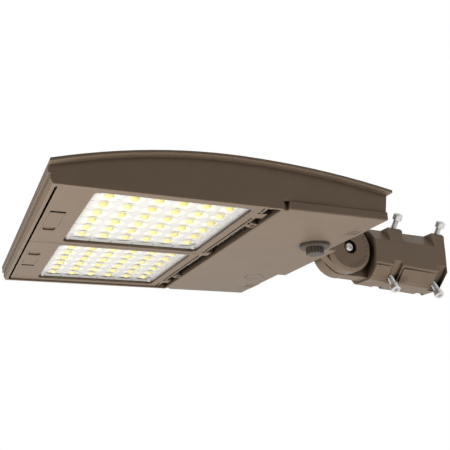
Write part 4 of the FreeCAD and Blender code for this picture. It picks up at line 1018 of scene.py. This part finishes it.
@dataclass
class Camera:
    """The camera of the photograph, placed from the head's reference point."""

    head_length: float = 355.0 * MM
    place: Vector = field(default_factory=lambda: Vector((-434.5, -729.1, -214.7)) * MM)
    yaw: float = 24.19
    pitch: float = 17.86
    roll: float = -2.28
    focal_pixels: float = 664.25
    frame_pixels: float = 450.0
    sensor: float = 36.0
    near: float = 0.01
    far: float = 100.0

    def head_origin(self) -> Vector:
        """Find the head's reference point.

        Returns:
            The point in the frame.
        """
        low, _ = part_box("housing")
        door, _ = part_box("driver_door")
        return Vector((low.x + self.head_length, 0.0, door.z))

    def build(self) -> None:
        """Set the camera where the photograph was taken."""
        data = bpy.data.cameras.new("camera")
        data.sensor_width = self.sensor
        data.sensor_fit = "HORIZONTAL"
        data.lens = self.focal_pixels / self.frame_pixels * self.sensor
        data.clip_start = self.near
        data.clip_end = self.far
        made = bpy.data.objects.new("camera", data)
        turn = Matrix.Rotation(math.radians(-self.yaw), 4, "Z")
        tip = Matrix.Rotation(math.radians(90 + self.pitch), 4, "X")
        lean = Matrix.Rotation(math.radians(self.roll), 4, "Z")
        made.matrix_world = Matrix.Translation(self.head_origin() + self.place) @ turn @ tip @ lean
        bpy.context.scene.collection.objects.link(made)
        bpy.context.scene.camera = made


def lamps() -> list[Lamp]:
    """Name the lamps: two below, for the lit face and for the nose, and one above.

    Returns:
        The lamps, not yet hung.
    """
    middle = (CAD_BOX[0] + CAD_BOX[1]) / 2
    lit_face = Vector((-0.15, 0.0, 0.0))
    nose = Vector((-0.50, -0.10, 0.0))
    return [
        Lamp("below_rear", Vector((0.60, -0.75, -1.15)), lit_face, side=2.0, watts=20.0),
        Lamp("below_front", Vector((-1.10, -0.20, -0.90)), nose, side=0.5, watts=11.2),
        Lamp("above", middle + Vector((-0.70, 0.30, 1.50)), middle, side=1.4, watts=19.0),
    ]


def build_studio() -> None:
    """Set up the floor, surroundings, lamps, camera and view."""
    for item in (Floor(), Surroundings(), *lamps(), Camera()):
        item.build()
    bpy.context.scene.view_settings.view_transform = "Standard"


def finishes(grid: Grid) -> dict[Slot, Any]:
    """Choose the finish of each slot.

    Args:
        grid: the grid of LEDs, which the boards' and lenses' patterns follow.

    Returns:
        The finishes by slot.
    """
    gasket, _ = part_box("led_door_gasket_left")
    return {
        Slot.BRONZE: PowderCoat(),
        Slot.SHEET: BareMetal("mill_aluminium", (0.62, 0.63, 0.64), (0.74, 0.75, 0.76), 0.36, 0.12,
                              (1.0, 14.0, 1.0)),
        Slot.BOARD: SolderMask(grid),
        Slot.PHOSPHOR: Phosphor(),
        Slot.OPTIC: ClearOptic(grid, door=gasket.z),
        Slot.STAINLESS: BareMetal("bright_stainless", (0.78, 0.765, 0.74), (0.90, 0.885, 0.86), 0.24, 0.14),
        Slot.ZINC: BareMetal("zinc_plate", (0.50, 0.51, 0.50), (0.64, 0.64, 0.61), 0.30, 0.16),
        Slot.SILICONE: Moulded("grey_silicone", (0.27, 0.27, 0.27), (0.34, 0.34, 0.34), 0.62),
        Slot.BLACK: Moulded("dark_moulding", (0.066, 0.054, 0.044), (0.102, 0.084, 0.069), 0.45),
        Slot.CASE: Moulded("potted_case", (0.76, 0.76, 0.74), (0.84, 0.84, 0.82), 0.50),
    }


def main() -> None:
    """Dress the frame, add the pieces and set up the studio."""
    logging.basicConfig(level=logging.INFO, format="%(message)s")
    grid = Grid.read()
    palette = Palette(finishes(grid))
    palette.dress_frame()
    for side in Side:
        Emitters(side, grid).build(palette)
    for number in range(1, SET_SCREWS + 1):
        SetScrew(number).build(palette)
    AngleMarks().build(palette)
    build_studio()


if __name__ == "__main__":
    main()
